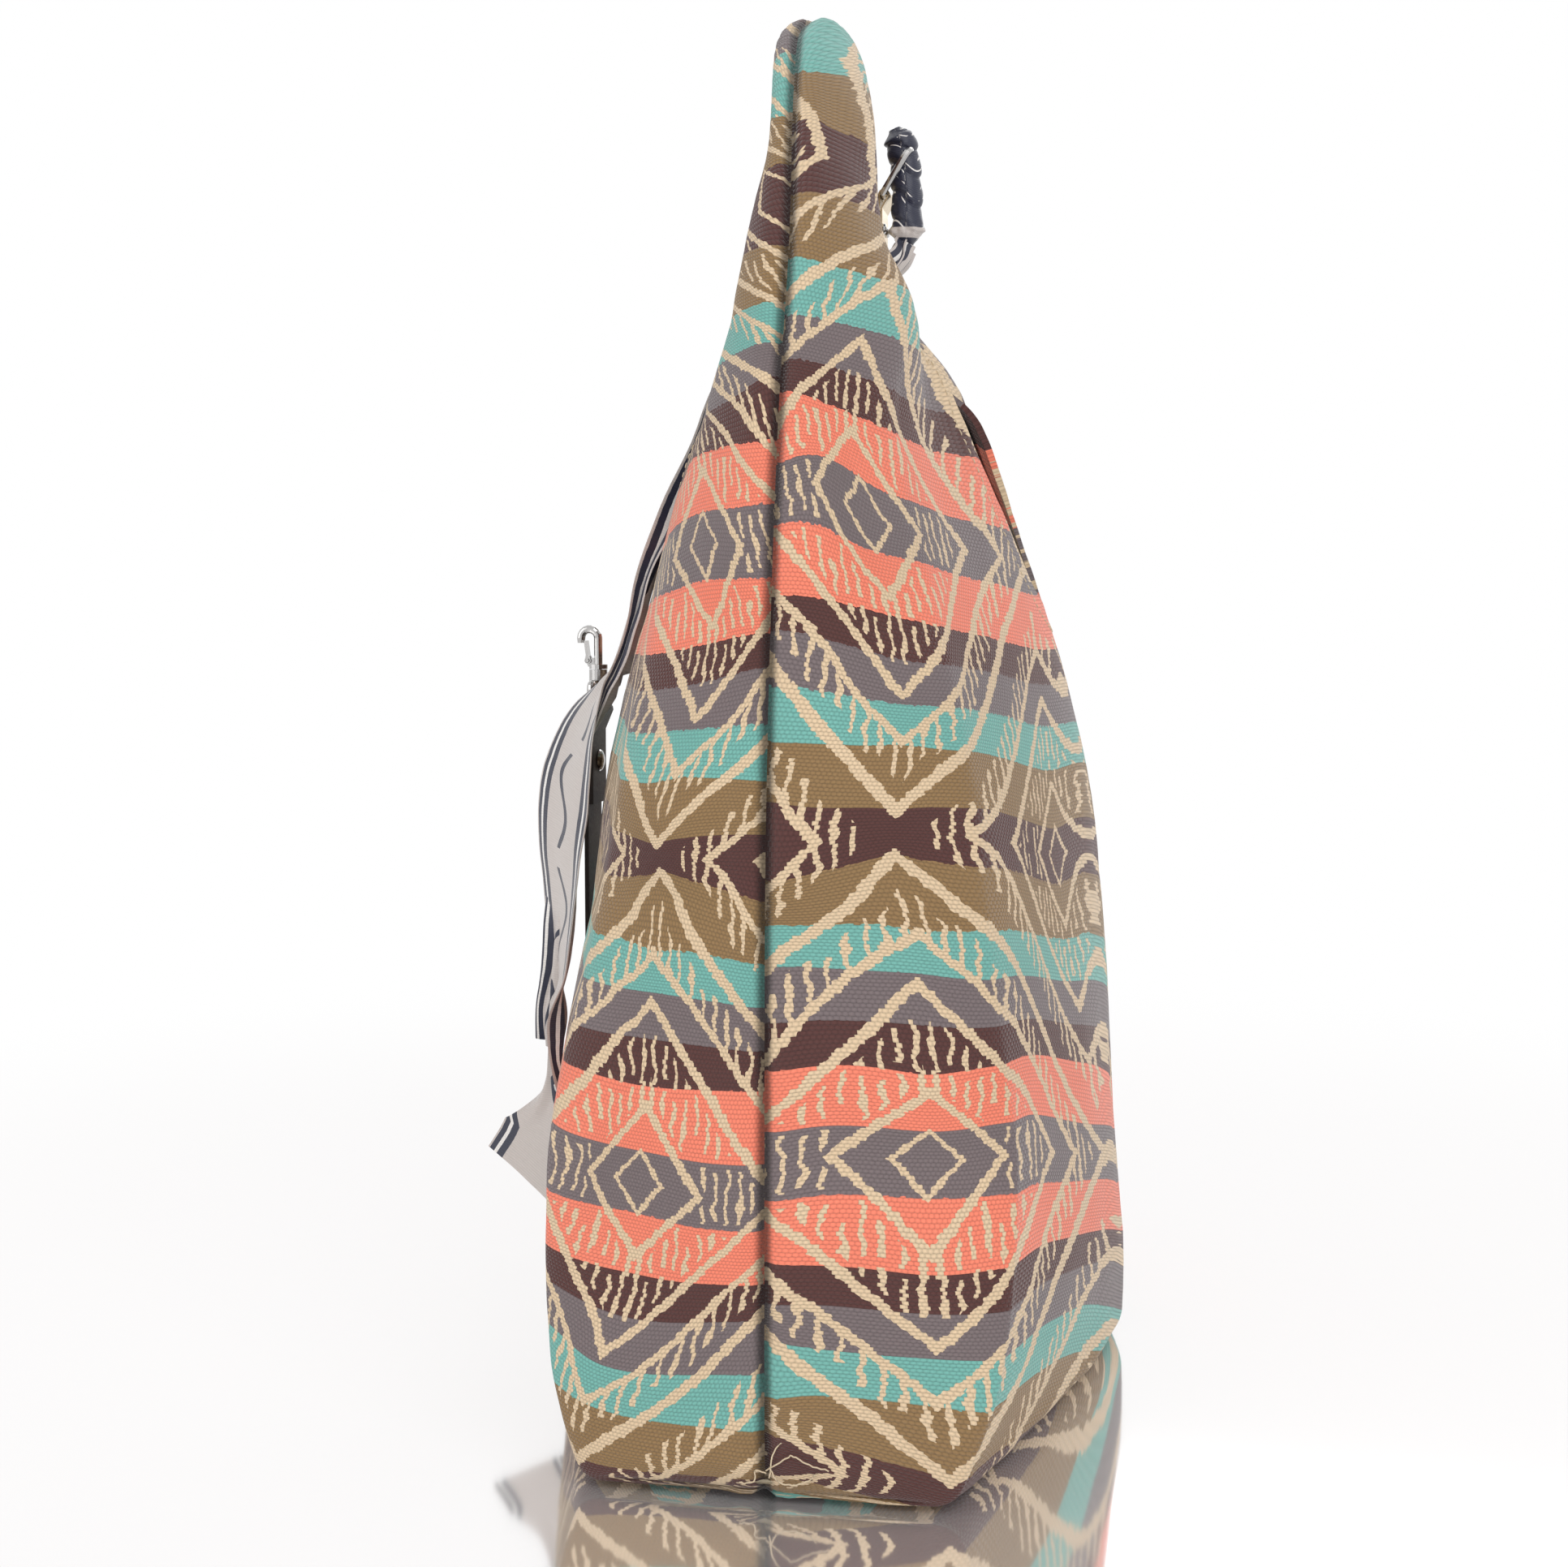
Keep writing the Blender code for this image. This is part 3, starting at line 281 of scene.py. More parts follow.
def broken_line(pairs, at):
    """Value at a position on the broken line through (position, value) pairs."""
    return float(np.interp(at, [k for k, _ in pairs], [value for _, value in pairs]))


def unit(vectors):
    """The vectors at length one."""
    return vectors / np.maximum(np.linalg.norm(vectors, axis=-1, keepdims=True), 1e-9)


def run_along(line):
    """Length of a line of points up to each of them."""
    return np.concatenate([[0], np.cumsum(np.linalg.norm(np.diff(line, axis=0), axis=1))])


def spline(points, u):
    """Catmull-Rom curve through the points, u counted in points from 0."""
    last = len(points) - 1
    i = min(max(int(u), 0), last - 1)
    f = u - i
    before = points[i - 1] if i > 0 else [2 * a - b for a, b in zip(points[0], points[1])]
    after = points[i + 2] if i + 2 <= last else [2 * a - b for a, b in zip(points[last], points[last - 1])]
    out = []
    for p0, p1, p2, p3 in zip(before, points[i], points[i + 1], after):
        out.append(0.5 * (2 * p1 + (p2 - p0) * f + (2 * p0 - 5 * p1 + 4 * p2 - p3) * f * f
                          + (3 * p1 - p0 - 3 * p2 + p3) * f ** 3))
    return out


def read_profile(profile, at):
    """Smooth curve through (position, value) pairs."""
    if at <= profile[0][0]:
        return profile[0][1]
    if at >= profile[-1][0]:
        return profile[-1][1]
    i = max(k for k in range(len(profile) - 1) if profile[k][0] <= at)
    f = (at - profile[i][0]) / (profile[i + 1][0] - profile[i][0])
    return spline(profile, i + f)[1]


def bag_lines():
    """Matching stations of the seam and of the mouth edge, from the bottom centre up to the top."""
    top, corner, side, low, half = BAG_HEIGHT, MOUTH_CORNER_HEIGHT, MOUTH_HALF_SPAN, MOUTH_HEIGHT, HALF_LENGTH
    rise = corner - low
    inner_top = top - STRAP_WIDTH
    neck = inner_top - corner
    seam = [
        (0.0, 0.0), (0.375 * half, 0.0), (0.725 * half, 0.0), (half - 0.008, 0.75 * END_LIFT),
        (half - 0.0005, END_LIFT + 0.012), (half, 0.21 * top), (0.985 * half, 0.415 * top),
        (0.915 * half, 0.596 * top), (0.815 * half, 0.734 * top), (0.70 * half, 0.829 * top),
        (0.515 * half, 0.926 * top), (0.26 * half, 0.985 * top), (0.0, top),
    ]
    mouth = [
        (0.0, low), (0.28 * side, low + 0.045 * rise), (0.52 * side, low + 0.167 * rise),
        (0.70 * side, low + 0.31 * rise), (0.777 * side, low + 0.40 * rise),
        (0.892 * side, low + 0.568 * rise), (0.962 * side, low + 0.727 * rise),
        (0.994 * side, low + 0.871 * rise), (side, corner), (0.968 * side, corner + 0.25 * neck),
        (0.84 * side, corner + 0.64 * neck), (0.484 * side, inner_top - 0.083 * neck), (0.0, inner_top),
    ]
    return seam, mouth


SEAM_LINE, MOUTH_LINE = bag_lines()
STATIONS = len(SEAM_LINE) - 1
MOUTH_OPEN = [(0, 1.0), (4, 1.0), (5, 0.98), (6, 0.85), (7, 0.52), (8, 0.14), (8.6, 0.0), (12, 0.0)]
FOLD_RADIUS = [(0, BOTTOM_FOLD), (3, 0.85 * BOTTOM_FOLD), (4, BOTTOM_FOLD), (5, END_FOLD),
               (6, 1.35 * END_FOLD), (7, 1.5 * END_FOLD), (8, 1.4 * END_FOLD), (9, 1.15 * END_FOLD),
               (10, 0.53 * STRAP_WIDTH), (12, 0.53 * STRAP_WIDTH)]
FOLD_SHARE = [(0, 0.12), (3, 0.14), (4, 0.20), (5, 0.36), (6, 0.60), (7, 0.80), (8, 0.88), (12, 0.90)]
SEAM_DENSE = [spline(SEAM_LINE, 3.6 + 8.4 * k / 200) for k in range(201)]
SIDE_SHARE = 0.46           # s where the side ends and the fold starts
FOLD_END = 0.76             # s where the fold ends and the end face starts


def half_width(x, z, side=-1):
    """Distance of the panel from the middle plane, before the strap leans; side is -1 for the front."""
    share = z / BAG_HEIGHT
    middle = BELLY_WIDTH / 2 * read_profile(MIDDLE_PROFILE, share)
    end = END_WIDTH / 2 * read_profile(END_PROFILE, share)
    reach = HALF_LENGTH * (1 - 0.45 * smooth((share - 0.45) / 0.55))
    power = 1.3 + 0.7 * smooth(share / 0.16)
    body = end + (middle - end) * max(0.0, 1 - (abs(x) / reach) ** power)
    if side < 0:
        body -= read_profile(FRONT_FLATTER, share) * smooth(abs(x) / FRONT_FULL)
    else:
        body += read_profile(BACK_FULLER, share)
    into_strap = smooth_between(share, *STRAP_BLEND)
    strap = STRAP_THICKNESS / 2 * (1.03 - 0.15 * smooth((share - 0.90) / 0.10))
    return body + (strap - body) * into_strap


def lean(x, z, share_out):
    """How far the strap has shifted along Y, share_out from 0 at the mouth to 1 at the seam."""
    amount = smooth((z - 0.69 * BAG_HEIGHT) / (0.20 * BAG_HEIGHT))
    near = smooth(x / MOUTH_HALF_SPAN)
    return amount * (STRAP_LEAN + STRAP_SKEW * x + STRAP_TWIST * near * (1 - 2 * share_out))


def seam_x(z):
    """X of the near end seam at a height."""
    return broken_line([(height, x) for x, height in SEAM_DENSE], z)


def panel_point(u, s, side):
    """Surface point and cloth facts: u from -1 to 1 round the bag, s from the mouth 0 to the seam 1."""
    station = abs(u) * STATIONS
    xo, zo = spline(SEAM_LINE, station)
    xi, zi = spline(MOUTH_LINE, station)
    zo = max(zo, 0.0)
    length = math.hypot(xo - xi, zo - zi)
    fold = read_profile(FOLD_RADIUS, station) / length
    start = 1 - fold
    xq, zq = xi + (xo - xi) * start, zi + (zo - zi) * start
    edge = half_width(xq, zq, side)
    fold_y = edge * read_profile(FOLD_SHARE, station)
    if s <= SIDE_SHARE:
        g = start * s / SIDE_SHARE
        y = half_width(xi + (xo - xi) * g, zi + (zo - zi) * g, side)
    elif s <= FOLD_END:
        angle = (s - SIDE_SHARE) / (FOLD_END - SIDE_SHARE) * math.pi / 2
        g = start + fold * math.sin(angle)
        y = edge - fold_y * (1 - math.cos(angle))
    else:
        g = 1.0
        y = (edge - fold_y) * (1 - (s - FOLD_END) / (1 - FOLD_END))
    closed = 1 - read_profile(MOUTH_OPEN, station)
    if closed > 0:
        rounding = math.sqrt(max(0.0, 1 - (1 - min(1.0, g / (0.95 * start))) ** 2))
        y *= 1 - closed * (1 - rounding)
    x = xi + (xo - xi) * g
    z = zi + (zo - zi) * g
    sign = -1 if u < 0 else 1
    return sign * x, side * max(y, 0.0), z, lean(sign * x, z, g), edge


def cloth_place(x, y, z, edge, station, s, side):
    """First guess of the cloth at a surface point, then how far round and how high it is, all in cm."""
    under = (1 - smooth((station - 3.1) / 0.9)) * smooth((s - SIDE_SHARE) / 0.1)
    tucked = under * max(0.0, edge - abs(y))
    wide = abs(y) + tucked
    seam = seam_x(max(z, 0.016))
    inward = max(seam - abs(x), 0.0)
    near = wide + inward - CORNER_SAVES * smooth(inward / END_FOLD)
    whole = 2 * (half_width(0, z) + seam - CORNER_SAVES)
    across = (near if x > 0 else whole - near) * 100
    height = (z - tucked) * 100
    drop = 0.0 if side > 0 else FRONT_DROP * smooth((52 - height) / 12)
    run = STRIPE_RUN * math.tanh(near * 100 / STRIPE_RUN)
    on_seam = height + drop - broken_line(STRIPE_SLOPE[side], height) * run
    up = broken_line(STRIPE_KNOTS, on_seam) * HALF_REPEAT_UP
    return across - broken_line(DIAMOND_COLUMN[side], height), up, across, height


def camera_look():
    """Direction in which the camera looks."""
    azimuth, pitch = math.radians(CAMERA_AZIMUTH), math.radians(CAMERA_PITCH)
    level = math.cos(pitch)
    return -math.sin(azimuth) * level, math.cos(azimuth) * level, -math.sin(pitch)


def in_picture(points):
    """Pixels of the picture in which points show."""
    look = np.array(camera_look())
    right = np.cross(look, [0, 0, 1])
    right /= np.linalg.norm(right)
    rise = np.cross(right, look)
    offset = points - np.array(CAMERA_PLACE)
    scale = CAMERA_LENS / SENSOR * PICTURE_WIDTH / (offset @ look)
    return PICTURE_WIDTH / 2 + scale * (offset @ right), PICTURE_HEIGHT / 2 - scale * (offset @ rise)


def thin_plate(places, values, stiffness):
    """Smooth function over the plane that passes near the values at the places."""
    count = len(places)

    def kernel(a, b):
        distance = np.linalg.norm(a[:, None] - b[None], axis=2)
        return distance ** 2 * np.log(distance + 1e-9)

    system = np.zeros((count + 3, count + 3))
    system[:count, :count] = kernel(places, places) + stiffness * np.eye(count)
    system[:count, count] = system[count, :count] = 1
    system[:count, count + 1:] = places
    system[count + 1:, :count] = places.T
    weights = np.linalg.solve(system, np.concatenate([values, np.zeros(3)]))

    def read(where):
        return kernel(where, places) @ weights[:count] + weights[count] + where @ weights[count + 1:]
    return read


def fit_print(points, normals, guess, rounds, side):
    """Shifts the guessed cloth coordinates until the print falls where the picture has it."""
    px, py = in_picture(points)
    facing = np.sum(normals * (np.array(CAMERA_PLACE) - points), axis=2) > 0
    flat_round, flat_guess = rounds.reshape(-1, 2), guess.reshape(-1, 2)
    at, shifts = [], []
    stripe_marks = [(x, y, None, up) for x, y, up in STRIPE_MARKS[side]]
    for x, y, across, up in DIAMOND_MARKS[side] + stripe_marks:
        away = np.where(facing, (px - x) ** 2 + (py - y) ** 2, 1e9).ravel()
        nearest = int(np.argmin(away))
        at.append(flat_round[nearest])
        known = None if across is None else across - flat_guess[nearest][0]
        shifts.append((known, up - flat_guess[nearest][1]))
    at = np.array(at)
    up = np.clip(flat_round[:, 1], *PRINT_REACH_UP)
    fitted = flat_guess.copy()
    for axis in (0, 1):
        used = [k for k, shift in enumerate(shifts) if shift[axis] is not None]
        values = np.array([shifts[k][axis] for k in used])
        narrowing = PRINT_NARROWING * np.abs(flat_round[:, 1:] - at[used, 1])
        reach = np.maximum((at[used, 0] - narrowing).max(axis=1), 0.0)
        where = np.stack([np.clip(flat_round[:, 0], 0, reach + 1), up], axis=1) / PRINT_SPREAD
        fade = 1 - np.clip((flat_round[:, 0] - reach) / PRINT_FADE, 0, 1)
        fade = fade * fade * (3 - 2 * fade)
        fitted[:, axis] += fade * thin_plate(at[used] / PRINT_SPREAD, values, PRINT_STIFFNESS)(where)
    return fitted.reshape(guess.shape)


def refine(counts):
    """Values of u with so many steps between each two stations."""
    values = [0.0]
    for station, steps in enumerate(counts):
        values += [(station + k / steps) / STATIONS for k in range(1, steps + 1)]
    return values


AROUND = refine([16, 14, 12, 16, 22, 16, 16, 12, 12, 12, 12, 12])
ACROSS = [k / 56 for k in range(57)]


def wrinkle(point):
    """Height of the slack in the canvas, metres."""
    place = Vector(point)
    return sum(height * noise.noise(place * Vector(waves) + Vector(start))
               for waves, start, height in WRINKLES)


def panel_grid(side):
    """Points, unit normals and cloth coordinates of one panel's outer surface."""
    loop = [-u for u in AROUND[:0:-1]] + AROUND[:-1]
    rows, columns = len(loop), len(ACROSS)
    points = np.zeros((rows, columns, 3))
    guess = np.zeros((rows, columns, 2))
    rounds = np.zeros((rows, columns, 2))
    seams = np.zeros((rows, columns))
    for i, u in enumerate(loop):
        station = abs(u) * STATIONS
        for j, s in enumerate(ACROSS):
            x, y, z, shift, edge = panel_point(u, s, side)
            slimmer = smooth_between(z, *STRAP_SLIM_UP) * smooth_between(x, *STRAP_SLIM_ALONG)
            lower = STRAP_LOWERED * smooth_between(z, *STRAP_LOWERED_UP)
            points[i, j] = (x, y * (1 - STRAP_SLIMMED * slimmer) + shift, z - lower)
            place = cloth_place(x, y, z, edge, station, s, side)
            guess[i, j], rounds[i, j] = place[:2], place[2:]
            seams[i, j] = station
    along = np.roll(points, -1, axis=0) - np.roll(points, 1, axis=0)
    across = np.gradient(points, axis=1)
    normals = np.cross(along, across) * side
    normals[:, -1, 1] = 0.0
    for i in range(rows):
        normals[i, 0, 1] *= read_profile(MOUTH_OPEN, seams[i, 0])
    normals = unit(normals)
    fitted = fit_print(points, normals, guess, rounds, side)
    _, from_seam = edge_distances(points)
    cloth = np.concatenate([fitted, from_seam[:, :, None] * 100], axis=2)
    return points, normals, cloth, seams


def edge_distances(points):
    """Distance of every grid point from the mouth edge and from the seam, along its row."""
    steps = np.linalg.norm(np.diff(points, axis=1), axis=2)
    from_mouth = np.concatenate([np.zeros((len(points), 1)), np.cumsum(steps, axis=1)], axis=1)
    return from_mouth, from_mouth[:, -1:] - from_mouth


def ridge(away, middle, width):
    """1 on a line that far from an edge, fading out to both sides."""
    return np.exp(-((away - middle) / width) ** 2)


def within(away, limit, width):
    """1 nearer than the limit, 0 past it."""
    return 1 / (1 + np.exp((away - limit) / width))


def relief(points, from_mouth, from_seam, stations):
    """Height of seams, hems and slack over the plain surface, metres."""
    run = np.cumsum(np.linalg.norm(points[:, -1] - np.roll(points[:, -1], 1, axis=0), axis=1))[:, None]
    groove = -SEAM_GROOVE * ridge(from_seam, 0, SEAM_GROOVE)
    swell = SEAM_SWELL * ridge(from_seam, *SEAM_SWELL_AT)
    pucker = PUCKER * np.sin(run * 2 * math.pi / PUCKER_PITCH) * ridge(from_seam, 0, PUCKER_REACH)
    hem = HEM_RAISED * within(from_mouth, HEM, HEM_STEP)
    dent = -THREAD_DENT * ridge(from_mouth, HEM_THREAD, THREAD_DENT_WIDTH)
    foot = -CORNER_FOLD * ridge(stations, *CORNER_FOLD_AT) * within(from_seam, *CORNER_FOLD_TO)
    slack = np.array([[wrinkle(p) for p in row] for row in points])
    loose = 1 - SEAM_TAUT * ridge(from_seam, 0, SEAM_TAUT_REACH)
    return groove + swell + pucker + hem + dent + foot + slack * loose


def grid_piece(name, outer, inner, cloth, material, closed):
    """Mesh of two matching grids joined along their free edges, with the cloth coordinates."""
    rows, columns = outer.shape[:2]
    verts = np.concatenate([outer.reshape(-1, 3), inner.reshape(-1, 3)]).tolist()
    shift = rows * columns
    faces = []
    for i in range(rows if closed else rows - 1):
        k = (i + 1) % rows
        for j in range(columns - 1):
            a, b, c, d = i * columns + j, k * columns + j, k * columns + j + 1, i * columns + j + 1
            faces.append((a, b, c, d))
            faces.append((d + shift, c + shift, b + shift, a + shift))
        for j in (0, columns - 1):
            a, b = i * columns + j, k * columns + j
            faces.append((b, a, a + shift, b + shift) if j == 0 else (a, b, b + shift, a + shift))
    if not closed:
        for i in (0, rows - 1):
            for j in range(columns - 1):
                a, b = i * columns + j, i * columns + j + 1
                faces.append((a, b, b + shift, a + shift) if i == 0 else (b, a, a + shift, b + shift))
    piece = smooth_piece(name, verts, faces, material)
    set_cloth(piece, np.concatenate([cloth.reshape(-1, 3)] * 2))
    piece.data.set_sharp_from_angle(angle=math.radians(60))
    return piece


def smooth_piece(name, verts, faces, material):
    """Smooth mesh with its faces outward, which moves with the bag."""
    mesh = bpy.data.meshes.new(name)
    mesh.from_pydata([tuple(v) for v in verts], [], faces)
    piece = link(name, mesh, material)
    outward(piece)
    mesh.shade_smooth()
    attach(piece, "root")
    return piece


def set_cloth(piece, values):
    """Stores the cloth coordinates of every point, which the materials read."""
    data = piece.data.attributes.new("cloth", "FLOAT_VECTOR", "POINT")
    data.data.foreach_set("vector", np.array(values, dtype=float).ravel())


def thread_ring(centre, across, out, radius):
    """Points round a thread."""
    turns = [2 * math.pi * k / THREAD_SIDES for k in range(THREAD_SIDES)]
    return [centre + across * radius * math.cos(a) + out * radius * math.sin(a) for a in turns]


def tube_faces(rings, sides, first=0):
    """Faces of a tube with closed ends, its points numbered ring by ring from first on."""
    faces = []
    for low in range(first, first + (rings - 1) * sides, sides):
        for k in range(sides):
            n = (k + 1) % sides
            faces.append((low + k, low + n, low + sides + n, low + sides + k))
    faces.append(tuple(first + k for k in range(sides))[::-1])
    faces.append(tuple(first + (rings - 1) * sides + k for k in range(sides)))
    return faces


def link(name, mesh, material):
    """Object of a mesh in one material."""
    piece = bpy.data.objects.new(name, mesh)
    mesh.materials.append(material)
    bpy.context.scene.collection.objects.link(piece)
    return piece


def outward(piece):
    """Makes all faces point out."""
    bm = bmesh.new()
    bm.from_mesh(piece.data)
    bmesh.ops.recalc_face_normals(bm, faces=bm.faces)
    if bm.calc_volume(signed=True) < 0:
        bmesh.ops.reverse_faces(bm, faces=bm.faces)
    bm.to_mesh(piece.data)
    bm.free()


class Field:
    """Output of a shader node; sums, products and comparisons of it make math nodes."""

    def __init__(self, nodes, socket):
        self.nodes, self.socket = nodes, socket

    def to(self, operation, *values):
        return self.nodes.math(operation, self, *values)

    def __add__(self, other):
        return self.to("ADD", other)

    def __sub__(self, other):
        return self.to("SUBTRACT", other)

    def __rsub__(self, other):
        return self.nodes.math("SUBTRACT", other, self)

    def __mul__(self, other):
        return self.to("MULTIPLY", other)

    def __truediv__(self, other):
        return self.to("DIVIDE", other)

    def __gt__(self, other):
        return self.to("GREATER_THAN", other)

    def __lt__(self, other):
        return self.to("LESS_THAN", other)

    def __abs__(self):
        return self.to("ABSOLUTE")

    __radd__ = __add__


class Nodes:
    """Short way to write the nodes of a tree."""

    def __init__(self, tree):
        self.tree = tree

    def node(self, kind, inputs=(), **settings):
        made = self.tree.nodes.new("ShaderNode" + kind)
        for key, value in settings.items():
            setattr(made, key, value)
        for label, value in dict(inputs).items():
            self.put(made.inputs[label], value)
        return made

    def put(self, socket, value):
        """Links a field or a node's first output to a socket, or sets its value."""
        if isinstance(value, bpy.types.Node):
            value = self.read(value)
        if isinstance(value, Field):
            self.tree.links.new(value.socket, socket)
        else:
            socket.default_value = value

    def read(self, node, output=0):
        """Field of one of a node's outputs."""
        return Field(self, node.outputs[output])

    def math(self, operation, *values):
        return self.read(self.node("Math", enumerate(values), operation=operation))


class Shader(Nodes):
    """One Principled material, which reads the cloth coordinates or its place on the object."""

    def __init__(self, name, roughness=0.5, metallic=0.0):
        self.material = bpy.data.materials.new(name)
        self.material.use_nodes = True
        super().__init__(self.material.node_tree)
        self.surface = self.tree.nodes["Principled BSDF"]
        self.set("Roughness", roughness)
        self.set("Metallic", metallic)

    def set(self, label, value):
        self.put(self.surface.inputs[label], value)

    def cloth(self):
        stored = self.read(self.node("Attribute", attribute_name="cloth"), "Vector")
        split = self.node("SeparateXYZ", {0: stored})
        return [self.read(split, k) for k in range(3)]

    def place(self):
        return self.read(self.node("TexCoord"), "Object")

    def vector(self, x, y):
        return self.read(self.node("CombineXYZ", {0: x, 1: y}))

    def noise(self, vector, scale, detail=2.0):
        return self.read(self.node("TexNoise", {"Vector": vector, "Scale": scale, "Detail": detail}), "Fac")

    def ramp(self, factor, stops, interpolation="CONSTANT"):
        made = self.node("ValToRGB", {"Fac": factor})
        made.color_ramp.interpolation = interpolation
        elements = made.color_ramp.elements
        while len(elements) < len(stops):
            elements.new(1.0)
        for element, (place, colour) in zip(elements, sorted(stops, key=lambda stop: stop[0])):
            element.position = place
            element.color = colour
        return self.read(made, "Color")

    def bands(self, value, bands, full):
        """1 where a value that runs up to full lies in one of the (low, high) bands, 0 elsewhere."""
        stops = [(0.0, BLACK)]
        for low, high in bands:
            stops += [(low / full, WHITE), (high / full, BLACK)]
        return self.ramp(value / full, stops)

    def ease(self, value, low, high, start=0.0, end=1.0):
        """Soft step from start to end while the value goes from low to high."""
        return self.read(self.node("MapRange", {
            "From Min": low, "From Max": high, "To Min": start, "To Max": end, "Value": value,
        }, interpolation_type="SMOOTHSTEP"))

    def mix(self, factor, first, second, blend="MIX"):
        inputs = {0: factor, 6: first, 7: second}
        return self.read(self.node("Mix", inputs, data_type="RGBA", blend_type=blend), 2)

    def bump(self, height, distance, strength):
        self.set("Normal", self.node("Bump", {"Distance": distance, "Strength": strength, "Height": height}))

    def tint(self, colour, light):
        """Base colour times a grey of that light."""
        grey = self.read(self.node("CombineColor", {0: light, 1: light, 2: light}))
        self.set("Base Color", self.mix(1.0, colour, grey, "MULTIPLY"))


WHITE = (1.0, 1.0, 1.0, 1.0)
BLACK = (0.0, 0.0, 0.0, 1.0)


def weave(across, up, pitch=WEAVE_PITCH):
    """Height from 0 to 1 of a coarse plain weave."""
    row = up / (YARN_RISE * pitch)
    column = across / pitch + row.to("FLOOR").to("MODULO", 2.0) * 0.5
    fx, fy = column.to("FRACT") - 0.5, row.to("FRACT") - 0.5
    return 1.0 - (fx * fx + fy * fy) * 2.2


def in_cells(across, up):
    """Cloth coordinates drawn to the middle of their yarn crossing, so that edges step with the weave."""
    rise = YARN_RISE * WEAVE_PITCH
    row = (up / rise).to("FLOOR")
    odd = row.to("MODULO", 2.0) * 0.5
    column = (across / WEAVE_PITCH + odd).to("FLOOR")
    crossing = (column + 0.5 - odd) * WEAVE_PITCH, (row + 0.5) * rise
    return [held * CELL_HOLD + free * (1 - CELL_HOLD) for held, free in zip(crossing, (across, up))]


def canvas_material():
    """Coarse canvas printed with stripes, nested diamonds and rows of short strokes."""
    shader = Shader("printed_canvas", roughness=0.9)
    over, high, from_seam = shader.cloth()
    across, up = in_cells(over, high)
    flat = shader.vector(across, up)
    serrated = shader.noise(flat, 4.2, 1.0) - 0.5
    wobble = shader.noise(flat, 0.8, 1.0) - 0.5
    waver = shader.noise(flat, 1.5, 1.0) - 0.5
    from_brown = (up / HALF_REPEAT_UP).to("PINGPONG", 1.0)
    stripes = shader.ramp(from_brown + serrated * 0.012, [
        (0.0, BROWN), (0.091, OLIVE), (0.288, TEAL), (0.435, GREY), (0.581, BROWN), (0.703, CORAL),
        (0.897, GREY)])

    # Diamonds one inside the other, counted in centimetres out from the middle
    beside = across.to("PINGPONG", HALF_REPEAT_ACROSS)
    above = (1.0 - from_brown) * HALF_REPEAT_UP
    straight = beside / DIAMOND_SLANT + above
    nested = straight + (serrated * 0.36 + wobble * 0.30)
    whole = HALF_REPEAT_ACROSS / DIAMOND_SLANT + HALF_REPEAT_UP
    half = whole / 2
    cell = nested.to("PINGPONG", half)
    rings = shader.bands(cell, [(1.04, 1.30), (2.62, 3.10), (6.02, 6.50), (8.08, 8.52)], half)
    border = shader.bands(nested, [(10.5, 11.1)], whole)

    # Short strokes in lanes, each with its own chance
    lane = (beside + waver * 0.55) / STROKE_PITCH
    draw = shader.node("TexWhiteNoise", noise_dimensions="1D")
    shader.put(draw.inputs["W"], lane.to("FLOOR"))
    chance = shader.read(draw, "Value")
    in_second = straight > half
    level = above * (1.0 - in_second) + (HALF_REPEAT_UP - above) * in_second
    comb = shader.bands(cell - chance * 0.45, [(7.9, 9.6)], half) * (cell > 8.2)
    tall = shader.bands(level + chance * 0.4, [(0.0, 1.25), (1.7, 3.45), (3.8, 5.3)], HALF_REPEAT_UP)
    between = shader.bands(cell, [(3.35, 5.7)], half)
    inner = tall * between * (chance + level * 0.2 > 0.42)
    in_stroke = abs(lane.to("FRACT") - 0.5) < 0.17 + serrated * 0.10
    strokes = in_stroke * comb.to("MAXIMUM", inner)
    horns = (abs(beside - 0.26) < 0.13) * shader.bands(cell, [(3.0, 3.85)], half)
    marks = rings.to("MAXIMUM", border).to("MAXIMUM", strokes.to("MAXIMUM", horns))
    printed = shader.mix(marks, stripes, CREAM)

    height = weave(over, high)
    yarn = shader.noise(shader.vector(over, high), 22.0, 3.0)
    worn = shader.noise(flat, 0.25, 2.0) * 0.12 + 0.94
    # Painted shade: the canvas colour darkens towards the seam, down in its groove
    painted_groove_shade = shader.ease(from_seam, 0.06, 0.42, 0.22, 1.0)
    # Painted shade and highlight: the colour is darker between the yarns and paler on their tops; yarn and
    # worn vary the tone at random
    shader.tint(printed, (height * 0.36 + 0.66) * (yarn * 0.26 + 0.88) * painted_groove_shade * worn)
    shader.bump(height + yarn * 0.35, 0.0006, 0.8)
    for label, value in (("Sheen Weight", 0.30), ("Sheen Roughness", 0.45), ("Specular IOR Level", 0.2)):
        shader.set(label, value)
    return shader.material


def plain_cloth(name, colour, pitch):
    """Plain woven cloth in one colour."""
    shader = Shader(name, roughness=0.95)
    across, up, _ = shader.cloth()
    flat = shader.vector(across, up)
    grain = shader.noise(flat, 18.0, 3.0)
    cloudy = shader.noise(flat, 0.5, 2.0) - 0.5
    shader.tint(colour, grain * 0.14 + 0.86 + cloudy * 0.10)
    shader.bump(weave(across, up, pitch) + grain, 0.00025, 0.5)
    return shader.material


